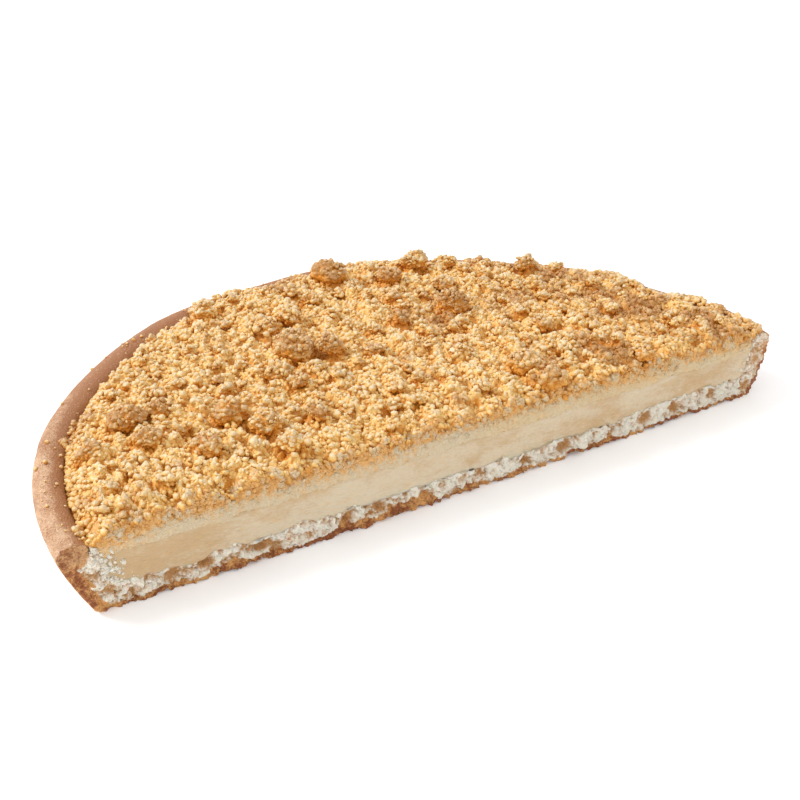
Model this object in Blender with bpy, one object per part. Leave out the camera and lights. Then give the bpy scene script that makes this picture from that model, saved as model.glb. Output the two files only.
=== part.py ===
"""Half of a round cream crumble flan, cut straight through its middle and lying on its base.

Three solids, each in its own named object: the yeast dough crust with its rolled rim, the cream
filling that it holds, and the baked crumble on top with its lumps. The whole round would have its
centre on the z axis, the cut is the plane y = 0 and the flan lies behind it. At the end the model is
moved so that the middle of its underside's box is the origin.
"""

import math

import bmesh
import bpy
import numpy as np
from mathutils import Matrix, Vector
from mathutils.geometry import delaunay_2d_cdt

MM = 0.001
GAP = 0.3 * MM

# The whole round
RIM_RADIUS = 140 * MM
BASE_RADIUS = 133 * MM
BASE_CORNER = 3.5 * MM

# The rim is a roll of dough that stands on the wall
ROLL_WIDTH = 10 * MM
ROLL_HALF_HEIGHT = 4.2 * MM
ROLL_MIDDLE_HEIGHT = 23 * MM
WALL_BULGE = 0.7 * MM

# The layers at the cut
FLOOR_HEIGHT = 9.3 * MM
FLOOR_RADIUS = 126.5 * MM
CREAM_TOP = 20 * MM
CRUMBLE_EDGE_HEIGHT = 25 * MM
CRUMBLE_EDGE_RADIUS = RIM_RADIUS - 9.8 * MM
CRUMBLE_MIDDLE_HEIGHT = 31.5 * MM
CRUMBLE_CUT_DROP = 2.6 * MM
CRUMBLE_SHOULDER = 9 * MM

# How uneven the food is
CUT_BOW = 1.9 * MM
BASE_LEAN = 1.8 * MM
OUT_OF_ROUND = 0.7 * MM
RIM_WAVE = 0.6 * MM
RIM_DROOP = 1.2 * MM
DROOP_REACH = 24 * MM
CRUMB_BUMP = 1.1 * MM
DOUGH_TEAR = 0.5 * MM
CREAM_TEAR = 0.15 * MM
CRUMBLE_TEAR = 0.35 * MM
BASE_CHIP = 0.9 * MM

# Torn hollows in the dough at the cut: place across, height, width and depth, in mm
HOLLOWS = (
    (-108, 5.5, 7, 2), (-97, 6.5, 8, 2.4), (-78, 6, 11, 3), (-48, 5.5, 7, 2), (-36, 6, 7, 2),
    (-18, 5.5, 7, 2.2), (23, 5.5, 7, 2), (40, 6, 8, 2.4), (78, 5.5, 8, 2), (92, 6, 7, 2.2), (111, 6, 8, 2),
)

# How finely each surface is divided
ARC_STEPS = 56
CRUMBLE_ARC_STEPS = 84
CUT_STEP = 3.6 * MM
CRUMB_STEP = 5.6 * MM
FLAT_STEP = 30 * MM
EDGE_STRIP = 2.6 * MM

# Lumps that the cut flan shows: place across and behind the cut, and width, in mm
SHOWN_LUMPS = (
    (11, 116, 13.5), (47, 110, 10.5), (61, 107, 8.5), (31, 103, 9.5), (39, 69, 12), (-31, 66, 16),
    (-20, 59, 9.5), (-31, 87, 11), (-21, 89, 9.5), (-44, 53, 9), (-70, 35, 11.5), (-63, 24, 10.5),
    (-62, 9, 8), (-84, 21, 9.5), (-98, 34, 9), (-116, 37, 7.5), (-100, 48, 11), (-88, 50, 8.5),
    (-46, 111, 9.5), (85, 85, 8), (33, 16, 11.5), (35, 5.5, 12), (77, 3.5, 7.5), (59, 40, 8),
    (47, 88, 8), (-6, 100, 7.5), (-46, 22, 7), (15, 68, 7), (-6, 52, 7), (-41, 44, 6.5),
)
SMALL_LUMPS = 104
SMALL_LUMP_WIDTHS = (3.6 * MM, 5.6 * MM)
ROUNDER_FROM = 7.2 * MM
LUMP_HEIGHT_SHARE = 0.74
LUMP_SUNK_SHARE = 0.14
LUMP_UNEVEN = 0.13

COLOURS = {
    "crust": ((0.42, 0.20, 0.105), 0.75),
    "cream_filling": ((0.80, 0.62, 0.33), 0.5),
    "crumble_topping": ((0.78, 0.47, 0.16), 0.85),
}


def clear_scene():
    for old in list(bpy.data.objects):
        bpy.data.objects.remove(old, do_unlink=True)


def ripple(x, y, wavelength, seed):
    """Smooth unevenness of about -1 to 1: the sum of waves of like length that run in seeded directions."""
    rng = np.random.default_rng(seed)
    waves = 8
    total = np.zeros_like(x)
    for _ in range(waves):
        turn, phase = rng.uniform(0, 2 * np.pi, 2)
        number = 2 * np.pi / (wavelength * rng.uniform(0.75, 1.35))
        total += np.sin(number * (x * np.cos(turn) + y * np.sin(turn)) + phase)
    return total / math.sqrt(waves)


def smooth_step(t):
    t = np.clip(t, 0, 1)
    return t * t * (3 - 2 * t)


def crumble_height(x, y):
    """The crumble's bed: steep at the rim, level in the middle, a little lower along the cut, with bumps."""
    inward = CRUMBLE_EDGE_RADIUS - np.hypot(x, y)
    rise = CRUMBLE_MIDDLE_HEIGHT - CRUMBLE_EDGE_HEIGHT
    shoulder = rise * np.sqrt(smooth_step(inward / CRUMBLE_SHOULDER))
    sag = CRUMBLE_CUT_DROP * (1 - smooth_step(y / CRUMBLE_SHOULDER)) * smooth_step(inward / CRUMBLE_SHOULDER)
    bumps = CRUMB_BUMP * (0.6 * ripple(x, y, 13 * MM, 3) + 0.7 * ripple(x, y, 7 * MM, 4))
    return CRUMBLE_EDGE_HEIGHT + shoulder - sag + bumps * smooth_step(inward / CRUMB_STEP)


def warp(points):
    """The unevenness that all layers share: a bowed cut, a base that leans, a round that isn't quite round and
    a rim of uneven height that droops at the cut. The base stays flat, and the two ends of the cut stay where
    they are."""
    x, y, z = points.T
    reach = np.hypot(x, y) / RIM_RADIUS
    angle = np.arctan2(y, x)
    height = z / CREAM_TOP
    swell = sum(np.sin(2 * n * angle + n) - math.sin(n) * np.cos(2 * n * angle) for n in (1, 2, 3))
    swell_by = OUT_OF_ROUND * swell / 1.6 * smooth_step(reach)
    droop = RIM_DROOP * (1 - smooth_step(y / DROOP_REACH))
    rim_up = (RIM_WAVE * ripple(x, y, 70 * MM, 9) - droop) * smooth_step((reach - 0.75) / 0.2) * height
    bow = CUT_BOW * (1 - np.minimum(np.abs(x) / RIM_RADIUS, 1) ** 2) * (1 - smooth_step(y / (RIM_RADIUS / 2)))
    lean = BASE_LEAN * np.clip(1 - height, 0, 1) * (x / RIM_RADIUS) ** 2 * np.abs(np.cos(angle))
    moved_x = x + swell_by * np.cos(angle) + lean
    moved_y = y + swell_by * np.sin(angle) - bow
    return np.stack([moved_x, moved_y, z + rim_up * (z > 0)], axis=1)


def arc_angles(steps):
    return np.linspace(0, np.pi, steps + 1)


def cut_line(radius):
    """Places across the cut from one end of a layer to the other, ends left out."""
    pieces = 2 * round(radius / CUT_STEP)
    return np.linspace(-radius, radius, pieces + 1)[1:-1]


def profile_sheet(bm, profile, steps):
    """Turns a profile of (radius, height) points through half a circle. Returns its rows of vertices."""
    rows = []
    for radius, height in profile:
        angles = arc_angles(steps)
        rows.append([bm.verts.new((radius * np.cos(a), radius * np.sin(a), height)) for a in angles])
    for below, above in zip(rows, rows[1:]):
        for i in range(steps):
            bm.faces.new((below[i], below[i + 1], above[i + 1], above[i]))
    return rows


def close_line(bm, row, height):
    """The vertices of a cut edge, which joins the two ends of a row at the given height."""
    radius = row[0].co.x
    return [bm.verts.new((x, 0, height)) for x in cut_line(radius)]


def inner_grid(outline, step, seed):
    """Points of a shaken triangular grid that lie well inside an outline, all in two dimensions."""
    rng = np.random.default_rng(seed)
    low, high = outline.min(0), outline.max(0)
    row_step = step * math.sqrt(3) / 2
    ahead = np.roll(outline, -1, axis=0) - outline
    spans = (ahead**2).sum(1)
    found = []
    for j, v in enumerate(np.arange(low[1], high[1], row_step)):
        for u in np.arange(low[0] + step / 2 * (j % 2), high[0], step):
            point = np.array([u, v]) + rng.uniform(-0.2, 0.2, 2) * step
            share = np.clip(((point - outline) * ahead).sum(1) / spans, 0, 1)
            off = np.hypot(*(point - outline - share[:, None] * ahead).T).min()
            crossings = np.sum(
                ((outline[:, 1] > point[1]) != (np.roll(outline[:, 1], -1) > point[1]))
                & (point[0] < outline[:, 0] + (point[1] - outline[:, 1]) * ahead[:, 0] / (ahead[:, 1] + 1e-15))
            )
            if crossings % 2 and off > 0.55 * step:
                found.append(point)
    return found


def fill_loop(bm, loop, axes, step, seed, also=()):
    """Closes a loop of vertices with triangles of about the given size. It is worked out in the plane of the
    two axes named, and the new vertices keep the loop's own mean place along the third. Points in also are
    used as they are."""
    flat = np.array([[v.co[axes[0]], v.co[axes[1]]] for v in loop])
    third = 3 - sum(axes)
    level = float(np.mean([v.co[third] for v in loop]))
    inner = [*inner_grid(flat, step, seed), *also]
    points = [Vector((u / MM, v / MM)) for u, v in [*flat, *inner]]
    made = delaunay_2d_cdt(points, [], [list(range(len(loop)))], 1, 1e-6)
    corners = []
    for place, origins in zip(made[0], made[3]):
        if origins and origins[0] < len(loop):
            corners.append(loop[origins[0]])
            continue
        at = [level] * 3
        at[axes[0]], at[axes[1]] = place[0] * MM, place[1] * MM
        corners.append(bm.verts.new(at))
    for face in made[2]:
        bm.faces.new([corners[i] for i in face])
    return [c for c in corners if c not in set(loop)]


def finish_object(bm, name):
    """Makes the shape an object with its own material, its faces pointing out."""
    bmesh.ops.recalc_face_normals(bm, faces=bm.faces)
    mesh = bpy.data.meshes.new(name)
    bm.to_mesh(mesh)
    bm.free()
    obj = bpy.data.objects.new(name, mesh)
    bpy.context.scene.collection.objects.link(obj)
    if name in COLOURS:
        mesh.materials.append(food_material(name))
    return obj


def food_material(name):
    (red, green, blue), roughness = COLOURS[name]
    material = bpy.data.materials.new(name)
    material.use_nodes = True
    shader = material.node_tree.nodes["Principled BSDF"]
    shader.inputs["Base Color"].default_value = (red, green, blue, 1)
    shader.inputs["Roughness"].default_value = roughness
    shader.inputs["Metallic"].default_value = 0
    return material


def shape_points(bm, change):
    """Moves all vertices at once by a function of their places."""
    bm.verts.ensure_lookup_table()
    places = np.array([v.co for v in bm.verts], float)
    for vertex, place in zip(bm.verts, change(places)):
        vertex.co = place


def tear(points, depth, wavelength, seed):
    """A cut face that is torn rather than sliced: it goes in and out by the depth."""
    x, y, z = points.T
    on_cut = y < GAP / 3
    torn = points.copy()
    torn[:, 1] += np.where(on_cut, depth * ripple(x, 1.7 * z, wavelength, seed), 0)
    return torn


def crust_profile():
    """The crust's outline from its lower corner up the wall, over the rolled rim and down inside to its floor."""
    corner = [
        (BASE_RADIUS - BASE_CORNER * (1 - math.sin(a)), BASE_CORNER * (1 - math.cos(a)))
        for a in np.linspace(0, 0.42 * math.pi, 4)
    ]
    middle = RIM_RADIUS - ROLL_WIDTH / 2
    roll = [
        (middle + ROLL_WIDTH / 2 * math.cos(a), ROLL_MIDDLE_HEIGHT + ROLL_HALF_HEIGHT * math.sin(a))
        for a in np.linspace(0, math.pi, 10)
    ]
    start, height = corner[-1]
    wall = [
        (start + (RIM_RADIUS - start) * t + WALL_BULGE * 4 * t * (1 - t), height + (ROLL_MIDDLE_HEIGHT - height) * t)
        for t in (0.25, 0.5, 0.75)
    ]
    return [*corner, *wall, *roll, (FLOOR_RADIUS, FLOOR_HEIGHT)]


def make_crust():
    """Yeast dough: a flat base, a wall that leans out and a rolled rim, torn where it was cut."""
    bm = bmesh.new()
    rows = profile_sheet(bm, crust_profile(), ARC_STEPS)
    under_cut = close_line(bm, rows[0], 0)
    floor_cut = close_line(bm, rows[-1], FLOOR_HEIGHT)
    behind_chips = [(x, EDGE_STRIP) for x in cut_line(BASE_RADIUS - 2 * BASE_CORNER)[::2]]
    fill_loop(bm, [*rows[0], *under_cut], (0, 1), FLAT_STEP, 11, behind_chips)
    fill_loop(bm, [*rows[-1], *floor_cut], (0, 1), FLAT_STEP, 12)
    right = [row[0] for row in rows]
    left = [row[-1] for row in rows]
    fill_loop(bm, [*right, *reversed(floor_cut), *reversed(left), *under_cut], (0, 2), CUT_STEP, 13)

    def uneven(points):
        torn = tear(points, DOUGH_TEAR, 9 * MM, 21)
        x, y, z = points.T
        for across, height, width, depth in HOLLOWS:
            off = np.hypot((x / MM - across) / width, (z / MM - height) / 6) * 2
            torn[:, 1] += np.where(y < GAP / 3, depth * MM * smooth_step(1 - off), 0)
        chipped = (z < GAP / 3) & (y < GAP / 3) & (np.abs(x) < BASE_RADIUS - 2 * BASE_CORNER)
        torn[:, 2] += np.where(chipped, BASE_CHIP * np.abs(ripple(x, y, 14 * MM, 22)), 0)
        return warp(torn)

    shape_points(bm, uneven)
    obj = finish_object(bm, "crust")
    obj.data.shade_smooth()
    obj.data.set_sharp_from_angle(angle=math.radians(40))
    return obj


def make_layer(bm, profile, arc_steps, seed):
    """A layer that fills the crust: a turned side, a flat underside and a cut face. Returns its top loop."""
    rows = profile_sheet(bm, profile, arc_steps)
    low, high = profile[0][1], profile[-1][1]
    low_cut = close_line(bm, rows[0], low)
    high_cut = close_line(bm, rows[-1], high)
    fill_loop(bm, [*rows[0], *low_cut], (0, 1), FLAT_STEP, seed)
    right = [row[0] for row in rows]
    left = [row[-1] for row in rows]
    fill_loop(bm, [*right, *reversed(high_cut), *reversed(left), *low_cut], (0, 2), CUT_STEP, seed + 1)
    return [*rows[-1], *high_cut]


def make_cream():
    """The set cream: a smooth slab on the crust's floor."""
    bm = bmesh.new()
    profile = [
        (FLOOR_RADIUS - GAP, FLOOR_HEIGHT + GAP),
        (wall_inside(CREAM_TOP) - 1.5 * GAP, CREAM_TOP),
    ]
    top = make_layer(bm, profile, ARC_STEPS, 31)
    fill_loop(bm, top, (0, 1), FLAT_STEP, 33)
    shape_points(bm, lambda points: warp(tear(points, CREAM_TEAR, 30 * MM, 34)))
    return finish_object(bm, "cream_filling")


def wall_inside(height):
    """The radius of the crust's inner wall at a height below the middle of its roll."""
    share = (height - FLOOR_HEIGHT) / (ROLL_MIDDLE_HEIGHT - FLOOR_HEIGHT)
    return FLOOR_RADIUS + share * (RIM_RADIUS - ROLL_WIDTH - FLOOR_RADIUS)


def make_crumble_bed():
    """The crumble without its lumps: baked together below, bumpy on top, and lying against the rim's roll."""
    bm = bmesh.new()
    start = wall_inside(CREAM_TOP) - 1.5 * GAP
    profile = [
        (start, CREAM_TOP + GAP),
        (RIM_RADIUS - ROLL_WIDTH - 1.5 * GAP, ROLL_MIDDLE_HEIGHT + 3 * GAP),
        (CRUMBLE_EDGE_RADIUS, CRUMBLE_EDGE_HEIGHT),
    ]
    top = make_layer(bm, profile, CRUMBLE_ARC_STEPS, 41)
    edge = set(top)
    inner = fill_loop(bm, top, (0, 1), CRUMB_STEP, 43)
    top_index = {v for v in inner} | {v for v in edge if abs(v.co.y) < GAP / 3}
    ordered = list(top_index)
    places = np.array([v.co for v in ordered], float)
    for vertex, height in zip(ordered, crumble_height(places[:, 0], places[:, 1])):
        vertex.co.z = height
    shape_points(bm, lambda points: tear(points, CRUMBLE_TEAR, 8 * MM, 44))
    return finish_object(bm, "crumble_topping")


def lump(collection, x, y, width, seed):
    """One lump of crumble: a rounded, flattened, uneven ball half sunk in the bed."""
    bm = bmesh.new()
    bmesh.ops.create_icosphere(bm, subdivisions=2 if width > ROUNDER_FROM else 1, radius=0.5)
    rng = np.random.default_rng(seed)
    turn = Matrix.Rotation(rng.uniform(0, 2 * math.pi), 4, "Z") @ Matrix.Rotation(rng.uniform(0, 1), 4, "X")
    bmesh.ops.transform(bm, matrix=turn, verts=bm.verts)
    stretch = rng.uniform(0.85, 1.2)
    depth = crumble_height(np.array([x]), np.array([y]))[0]

    def place(points):
        spread = 1 + LUMP_UNEVEN * rng.uniform(-1, 1, len(points))
        sized = points * spread[:, None] * width * np.array([stretch, 1 / stretch, LUMP_HEIGHT_SHARE])
        return sized + np.array([x, y, depth + LUMP_SUNK_SHARE * width])

    shape_points(bm, place)
    obj = finish_object(bm, f"lump_{seed}")
    bpy.context.scene.collection.objects.unlink(obj)
    collection.objects.link(obj)


def small_lump_places():
    """Places for the small lumps, spread by chance but clear of the large lumps and of each other."""
    rng = np.random.default_rng(77)
    taken = [(x * MM, y * MM, w * MM) for x, y, w in SHOWN_LUMPS]
    shown = len(taken)
    reach = CRUMBLE_EDGE_RADIUS - CRUMB_STEP
    while len(taken) < shown + SMALL_LUMPS:
        x, y = rng.uniform(-reach, reach), rng.uniform(CRUMB_STEP, reach)
        width = rng.uniform(*SMALL_LUMP_WIDTHS)
        clear = all(math.hypot(x - a, y - b) > 0.6 * (width + w) + CRUMB_STEP / 2 for a, b, w in taken)
        if math.hypot(x, y) < reach and clear:
            taken.append((x, y, width))
    return taken


def drop_scraps(bm):
    """Keeps the largest shell of a fused shape. Loose scraps and sealed hollows are left out."""
    unseen = set(bm.faces)
    shells = []
    while unseen:
        shell, edge_of_shell = set(), [unseen.pop()]
        while edge_of_shell:
            face = edge_of_shell.pop()
            shell.add(face)
            near = {other for edge in face.edges for other in edge.link_faces} & unseen
            unseen -= near
            edge_of_shell.extend(near)
        shells.append(shell)
    shells.sort(key=len)
    scraps = [face for shell in shells[:-1] for face in shell]
    bmesh.ops.delete(bm, geom=scraps, context="FACES")


def make_crumble():
    """The crumble topping: its bed and all its lumps fused into one solid."""
    bed = make_crumble_bed()
    lumps = bpy.data.collections.new("lumps")
    bpy.context.scene.collection.children.link(lumps)
    for number, (x, y, width) in enumerate(small_lump_places()):
        lump(lumps, x, y, width, 100 + number)
    fuse = bed.modifiers.new("fuse lumps", "BOOLEAN")
    fuse.operand_type = "COLLECTION"
    fuse.collection = lumps
    fuse.operation = "UNION"
    fuse.solver = "EXACT"
    graph = bpy.context.evaluated_depsgraph_get()
    fused = bpy.data.meshes.new_from_object(bed.evaluated_get(graph))
    bed.modifiers.clear()
    for obj in list(lumps.objects):
        bpy.data.objects.remove(obj, do_unlink=True)
    bpy.data.collections.remove(lumps)
    bm = bmesh.new()
    bm.from_mesh(fused)
    bmesh.ops.triangulate(bm, faces=bm.faces)
    drop_scraps(bm)
    shape_points(bm, warp)
    bm.to_mesh(bed.data)
    bm.free()
    return bed


def centre_on_base(objects):
    """Moves the shapes so that the middle of the whole's box, at its underside, is the origin."""
    places = np.concatenate([np.array([v.co for v in obj.data.vertices]) for obj in objects])
    low, high = places.min(0), places.max(0)
    shift = Matrix.Translation((-(low[0] + high[0]) / 2, -(low[1] + high[1]) / 2, -low[2]))
    for obj in objects:
        obj.data.transform(shift)


clear_scene()
centre_on_base([make_crust(), make_cream(), make_crumble()])
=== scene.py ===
"""The looks of half a cream crumble flan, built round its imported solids.

Lengths are in millimetres until a piece is made. Every surface is first worked out for a true half round,
with the middle of the cut at the origin and the cut in the plane y = 0. bend() then gives all of them the
same unevenness that the solids have, and puts them where the solids are.
"""

import math

import bmesh
import bpy
import numpy as np
from mathutils import Matrix, Vector


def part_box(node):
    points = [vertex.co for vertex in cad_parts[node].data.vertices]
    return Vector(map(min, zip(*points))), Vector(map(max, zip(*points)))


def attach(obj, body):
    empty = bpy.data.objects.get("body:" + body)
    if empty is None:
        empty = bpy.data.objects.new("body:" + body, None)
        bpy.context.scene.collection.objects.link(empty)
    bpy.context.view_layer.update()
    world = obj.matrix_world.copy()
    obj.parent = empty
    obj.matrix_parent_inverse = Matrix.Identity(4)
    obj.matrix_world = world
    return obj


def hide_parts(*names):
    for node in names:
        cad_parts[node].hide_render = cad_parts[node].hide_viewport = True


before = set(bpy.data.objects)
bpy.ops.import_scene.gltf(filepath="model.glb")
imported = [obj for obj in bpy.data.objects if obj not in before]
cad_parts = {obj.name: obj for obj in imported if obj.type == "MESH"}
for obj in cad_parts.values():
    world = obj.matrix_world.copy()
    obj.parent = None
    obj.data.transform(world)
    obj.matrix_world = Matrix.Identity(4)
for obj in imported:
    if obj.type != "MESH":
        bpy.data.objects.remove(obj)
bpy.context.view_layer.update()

# A millimetre, how close points are joined, and how much of a ball's side and of a copy's square stays free
# in the bake's sheet
MM = 0.001
WELD_WITHIN = 0.002
SIDE_MARGIN = 0.04
COPY_MARGIN = 0.03

# The round and its rolled rim
RIM_RADIUS = 140.0
BASE_RADIUS = 133.0
BASE_CORNER = 3.5
ROLL_WIDTH = 10.0
ROLL_HALF_HEIGHT = 4.2
ROLL_MIDDLE_HEIGHT = 23.0
WALL_BULGE = 0.7

# The layers
FLOOR_HEIGHT = 9.3
FLOOR_RADIUS = 126.5
FLOOR_FILLET = 5.0
CREAM_TOP = 20.0
CRUMBLE_EDGE_RADIUS = RIM_RADIUS - 9.8
CRUMBLE_EDGE_HEIGHT = 25.0
CRUMBLE_MIDDLE_HEIGHT = 31.5
CRUMBLE_CUT_DROP = 2.6
CRUMBLE_SHOULDER = 9.0
CRUMBS_RADIUS = CRUMBLE_EDGE_RADIUS + 1.5

# How uneven the food is, as in the solids
CUT_BOW = 1.9
BASE_LEAN = 1.8
OUT_OF_ROUND = 0.7
RIM_WAVE = 0.6
RIM_DROOP = 1.2
DROOP_REACH = 24.0
CRUMB_BUMP = 1.1

# How unevenly it was cut: how far behind the cut the faces are torn, how far out the joints between the
# layers start to run level, where the wall takes over from the base, where its dough starts to get painted
# shade and where that on the right starts to be less torn, and the height from which its skin is thicker
TEAR_REACH = 2.5
LEVEL_FROM = 118.0
WALL_FROM = 128.0
WALL_PAINTED_SHADE_FROM = 124.0
RIGHT_WALL_FROM = 122.0
ROLL_SKIN_FROM = 18.0

# Lumps that can be told apart: place across and behind the cut, width, and how browned they are
SHOWN_LUMPS = (
    (11, 116, 13.5, 0.9), (47, 110, 10.5, 0.5), (61, 107, 8.5, 0.4), (31, 103, 9.5, 0.9), (39, 69, 12, 1.0),
    (-31, 66, 16, 0.8), (-20, 59, 9.5, 0.8), (-31, 87, 11, 0.5), (-21, 89, 9.5, 0.5), (-44, 53, 9, 0.6),
    (-70, 35, 11.5, 0.6), (-63, 24, 10.5, 0.5), (-62, 9, 8, 0.4), (-84, 21, 9.5, 0.6), (-98, 34, 9, 0.6),
    (-116, 37, 7.5, 0.7), (-100, 48, 11, 0.9), (-88, 50, 8.5, 0.9), (-46, 111, 9.5, 0.4), (85, 85, 8, 0.7),
    (33, 16, 11.5, 0.6), (35, 5.5, 12, 0.9), (77, 3.5, 7.5, 0.7), (59, 40, 8, 0.6), (47, 88, 8, 0.5),
    (-6, 100, 7.5, 0.5), (-46, 22, 7, 0.8), (15, 68, 7, 0.9), (-6, 52, 7, 0.7), (-41, 44, 6.5, 0.6),
)
SMALL_LUMPS = 104
SMALL_LUMP_WIDTHS = (3.6, 5.6)
LARGE_LUMP_WIDTH = 6
LUMP_CLEARANCE = 5.6
LUMP_HEIGHT_SHARE = 0.74
LUMP_SUNK_SHARE = 0.14
FIRST_LUMP_SEED = 100

# Torn hollows in the dough at the cut: place across, height, width and depth
HOLLOWS = (
    (-108, 5.5, 7, 2), (-97, 6.5, 8, 2.4), (-78, 6, 11, 3), (-48, 5.5, 7, 2), (-36, 6, 7, 2),
    (-18, 5.5, 7, 2.2), (23, 5.5, 7, 2), (40, 6, 8, 2.4), (78, 5.5, 8, 2), (92, 6, 7, 2.2), (111, 6, 8, 2),
)

# The camera, for a true half round
EYE = (-208.0, -289.1, 232.5)
LOOK_TURN = math.radians(32.008)
LOOK_DOWN = math.radians(29.124)
LOOK_ROLL = math.radians(0.759)
LENS = 55.905
FILM_WIDTH = 36.0

# The studio: its floor, how bright the room is, and its one lamp, in metres and watts
FLOOR_REACH = 3.0
FLOOR_WHITE = 0.93
FLOOR_ROUGHNESS = 0.9
FLOOR_GLOW = 0.1
ROOM_LIGHT = 1.06
LAMP_PLACE = (-2.1, 1.6, 2.5)
LAMP_TARGET = (0, 0, 0.02)
LAMP_SIZE = 1.1
LAMP_POWER = 92


# Unevenness


def smooth_step(t):
    """Goes from 0 to 1 as t does, with no slope at either end: three t squared less two t cubed."""
    t = np.clip(t, 0, 1)
    return t * t * (3 - 2 * t)


def ripple(x, y, wavelength, seed):
    """Smooth unevenness of about -1 to 1: the sum of waves of like length that run in seeded directions."""
    rng = np.random.default_rng(seed)
    waves = 8
    total = np.zeros_like(x)
    for _ in range(waves):
        turn, phase = rng.uniform(0, 2 * np.pi, 2)
        number = 2 * np.pi / (wavelength * rng.uniform(0.75, 1.35))
        total += np.sin(number * (x * np.cos(turn) + y * np.sin(turn)) + phase)
    return total / math.sqrt(waves)


def chance(cell, seed):
    """A repeatable number from 0 to 1 for each whole-number place: coordinates times primes, bits mixed."""
    primes = (73856093, 19349663, 83492791)
    bits = np.full(cell.shape[:-1], seed * 2654435, np.int64)
    for axis in range(cell.shape[-1]):
        bits = bits ^ (cell[..., axis] * primes[axis])
    bits = bits & 0xFFFFFFFF
    for _ in range(2):
        bits = ((bits ^ (bits >> 16)) * 0x45D9F3B) & 0xFFFFFFFF
    return ((bits ^ (bits >> 16)) & 0xFFFFFF) / 0xFFFFFF


def cloud(places, size, seed):
    """Smooth unevenness from -1 to 1: chance numbers at the corners of a grid, blended by smooth steps."""
    at = places / size
    cell = np.floor(at).astype(np.int64)
    share = smooth_step(at - cell)
    total = np.zeros(len(at))
    for corner in np.ndindex((2,) * at.shape[-1]):
        weight = np.prod(np.where(np.array(corner) == 1, share, 1 - share), axis=-1)
        total += weight * chance(cell + np.array(corner), seed)
    return 2 * total - 1


def clouds(places, size, seed, layers=3):
    """Unevenness with detail: clouds of the size, of half the size and so on, each half as strong."""
    total = np.zeros(len(places))
    for layer in range(layers):
        total += cloud(places, size / 2**layer, seed + layer) / 2**layer
    return total


def pebbles(places, size, seed, least, most):
    """A layer of round grains, one to each cell of a grid. Each is a ball with its middle at a chance place
    and a chance radius, and its height over a place is the root of radius squared less distance squared.
    Gives the height of the highest ball, from 0 in the gaps to 1."""
    at = places / size
    cell = np.floor(at).astype(np.int64)
    highest = np.zeros(len(at))
    axes = at.shape[-1]
    for step in np.ndindex((3,) * axes):
        near = cell + np.array(step) - 1
        middle = near + 0.5 + 0.9 * (np.stack([chance(near, seed + k) for k in range(axes)], -1) - 0.5)
        radius = least + (most - least) * chance(near, seed + 7)
        height = np.sqrt(np.maximum(radius**2 - ((at - middle) ** 2).sum(-1), 0))
        highest = np.maximum(highest, height)
    return highest / most


def sway(places, size, reach, seed):
    """Places moved by clouds, up to the reach along each axis, so that a pattern on them is uneven."""
    return places + reach * np.stack([cloud(places, size, seed + k) for k in range(places.shape[-1])], -1)


def warp(places):
    """The unevenness of the solids: a bowed cut, a base that leans, a round that isn't quite round and a
    rim of uneven height that droops at the cut."""
    x, y, z = places.T
    reach = np.hypot(x, y) / RIM_RADIUS
    angle = np.arctan2(y, x)
    height = z / CREAM_TOP
    swell = sum(np.sin(2 * n * angle + n) - math.sin(n) * np.cos(2 * n * angle) for n in (1, 2, 3))
    swell_by = OUT_OF_ROUND * swell / 1.6 * smooth_step(reach)
    droop = RIM_DROOP * (1 - smooth_step(y / DROOP_REACH))
    rim_up = (RIM_WAVE * ripple(x, y, 70.0, 9) - droop) * smooth_step((reach - 0.75) / 0.2) * height
    bow = CUT_BOW * (1 - np.minimum(np.abs(x) / RIM_RADIUS, 1) ** 2) * (1 - smooth_step(y / (RIM_RADIUS / 2)))
    lean = BASE_LEAN * np.clip(1 - height, 0, 1) * (x / RIM_RADIUS) ** 2 * np.abs(np.cos(angle))
    moved_x = x + swell_by * np.cos(angle) + lean
    moved_y = y + swell_by * np.sin(angle) - bow
    return np.stack([moved_x, moved_y, z + rim_up * (z > 0)], axis=1)


def wave_layers(places):
    """Lets the joints between the layers run unevenly at the cut: those of the base and the cream go up and
    down by clouds along x, and those beside the walls in and out by clouds along z. Each is a bell curve
    round its joint, and fades behind the cut."""
    x, y, z = places.T
    along = x[:, None]
    ragged = 0.9 * clouds(along, 11.0, 51) + 0.8 * clouds(along, 2.8, 54, 2)
    floor_wave = ragged * np.exp(-(((z - FLOOR_HEIGHT) / 3.0) ** 2))
    cream_wave = 0.45 * clouds(along, 19.0, 61) * np.exp(-(((z - CREAM_TOP) / 3.2) ** 2))
    ends = 1 - smooth_step((np.abs(x) - LEVEL_FROM) / 8)
    fade = (1 - smooth_step(y / 20)) * ends
    side_wave = 1.5 * clouds(np.stack([z, np.sign(x)], 1), 3.2, 66)
    side_wave = side_wave * np.exp(-(((np.abs(x) - FLOOR_RADIUS) / 2.4) ** 2))
    side_wave = side_wave * (1 - smooth_step(y / 8)) * smooth_step((z - 10) / 3)
    return np.stack([x + side_wave, y, z + (floor_wave + cream_wave) * fade], axis=1)


def frame_shift():
    """How far the solids' frame lies from the half round's: from the rim's ends and its far side."""
    angles = np.linspace(0, np.pi, 721)
    widest = np.stack([np.cos(angles), np.sin(angles), np.zeros_like(angles)], 1) * RIM_RADIUS
    widest[:, 2] = ROLL_MIDDLE_HEIGHT
    reached = warp(widest)
    low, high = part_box("crust")
    across = (low.x + high.x) / 2 / MM - (reached[:, 0].max() + reached[:, 0].min()) / 2
    return np.array([across, high.y / MM - reached[:, 1].max(), 0])


FRAME_SHIFT = frame_shift()


def bend(places):
    """Brings places of the true half round to where the solids have them, in metres."""
    return (warp(wave_layers(places)) + FRAME_SHIFT) * MM


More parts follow.
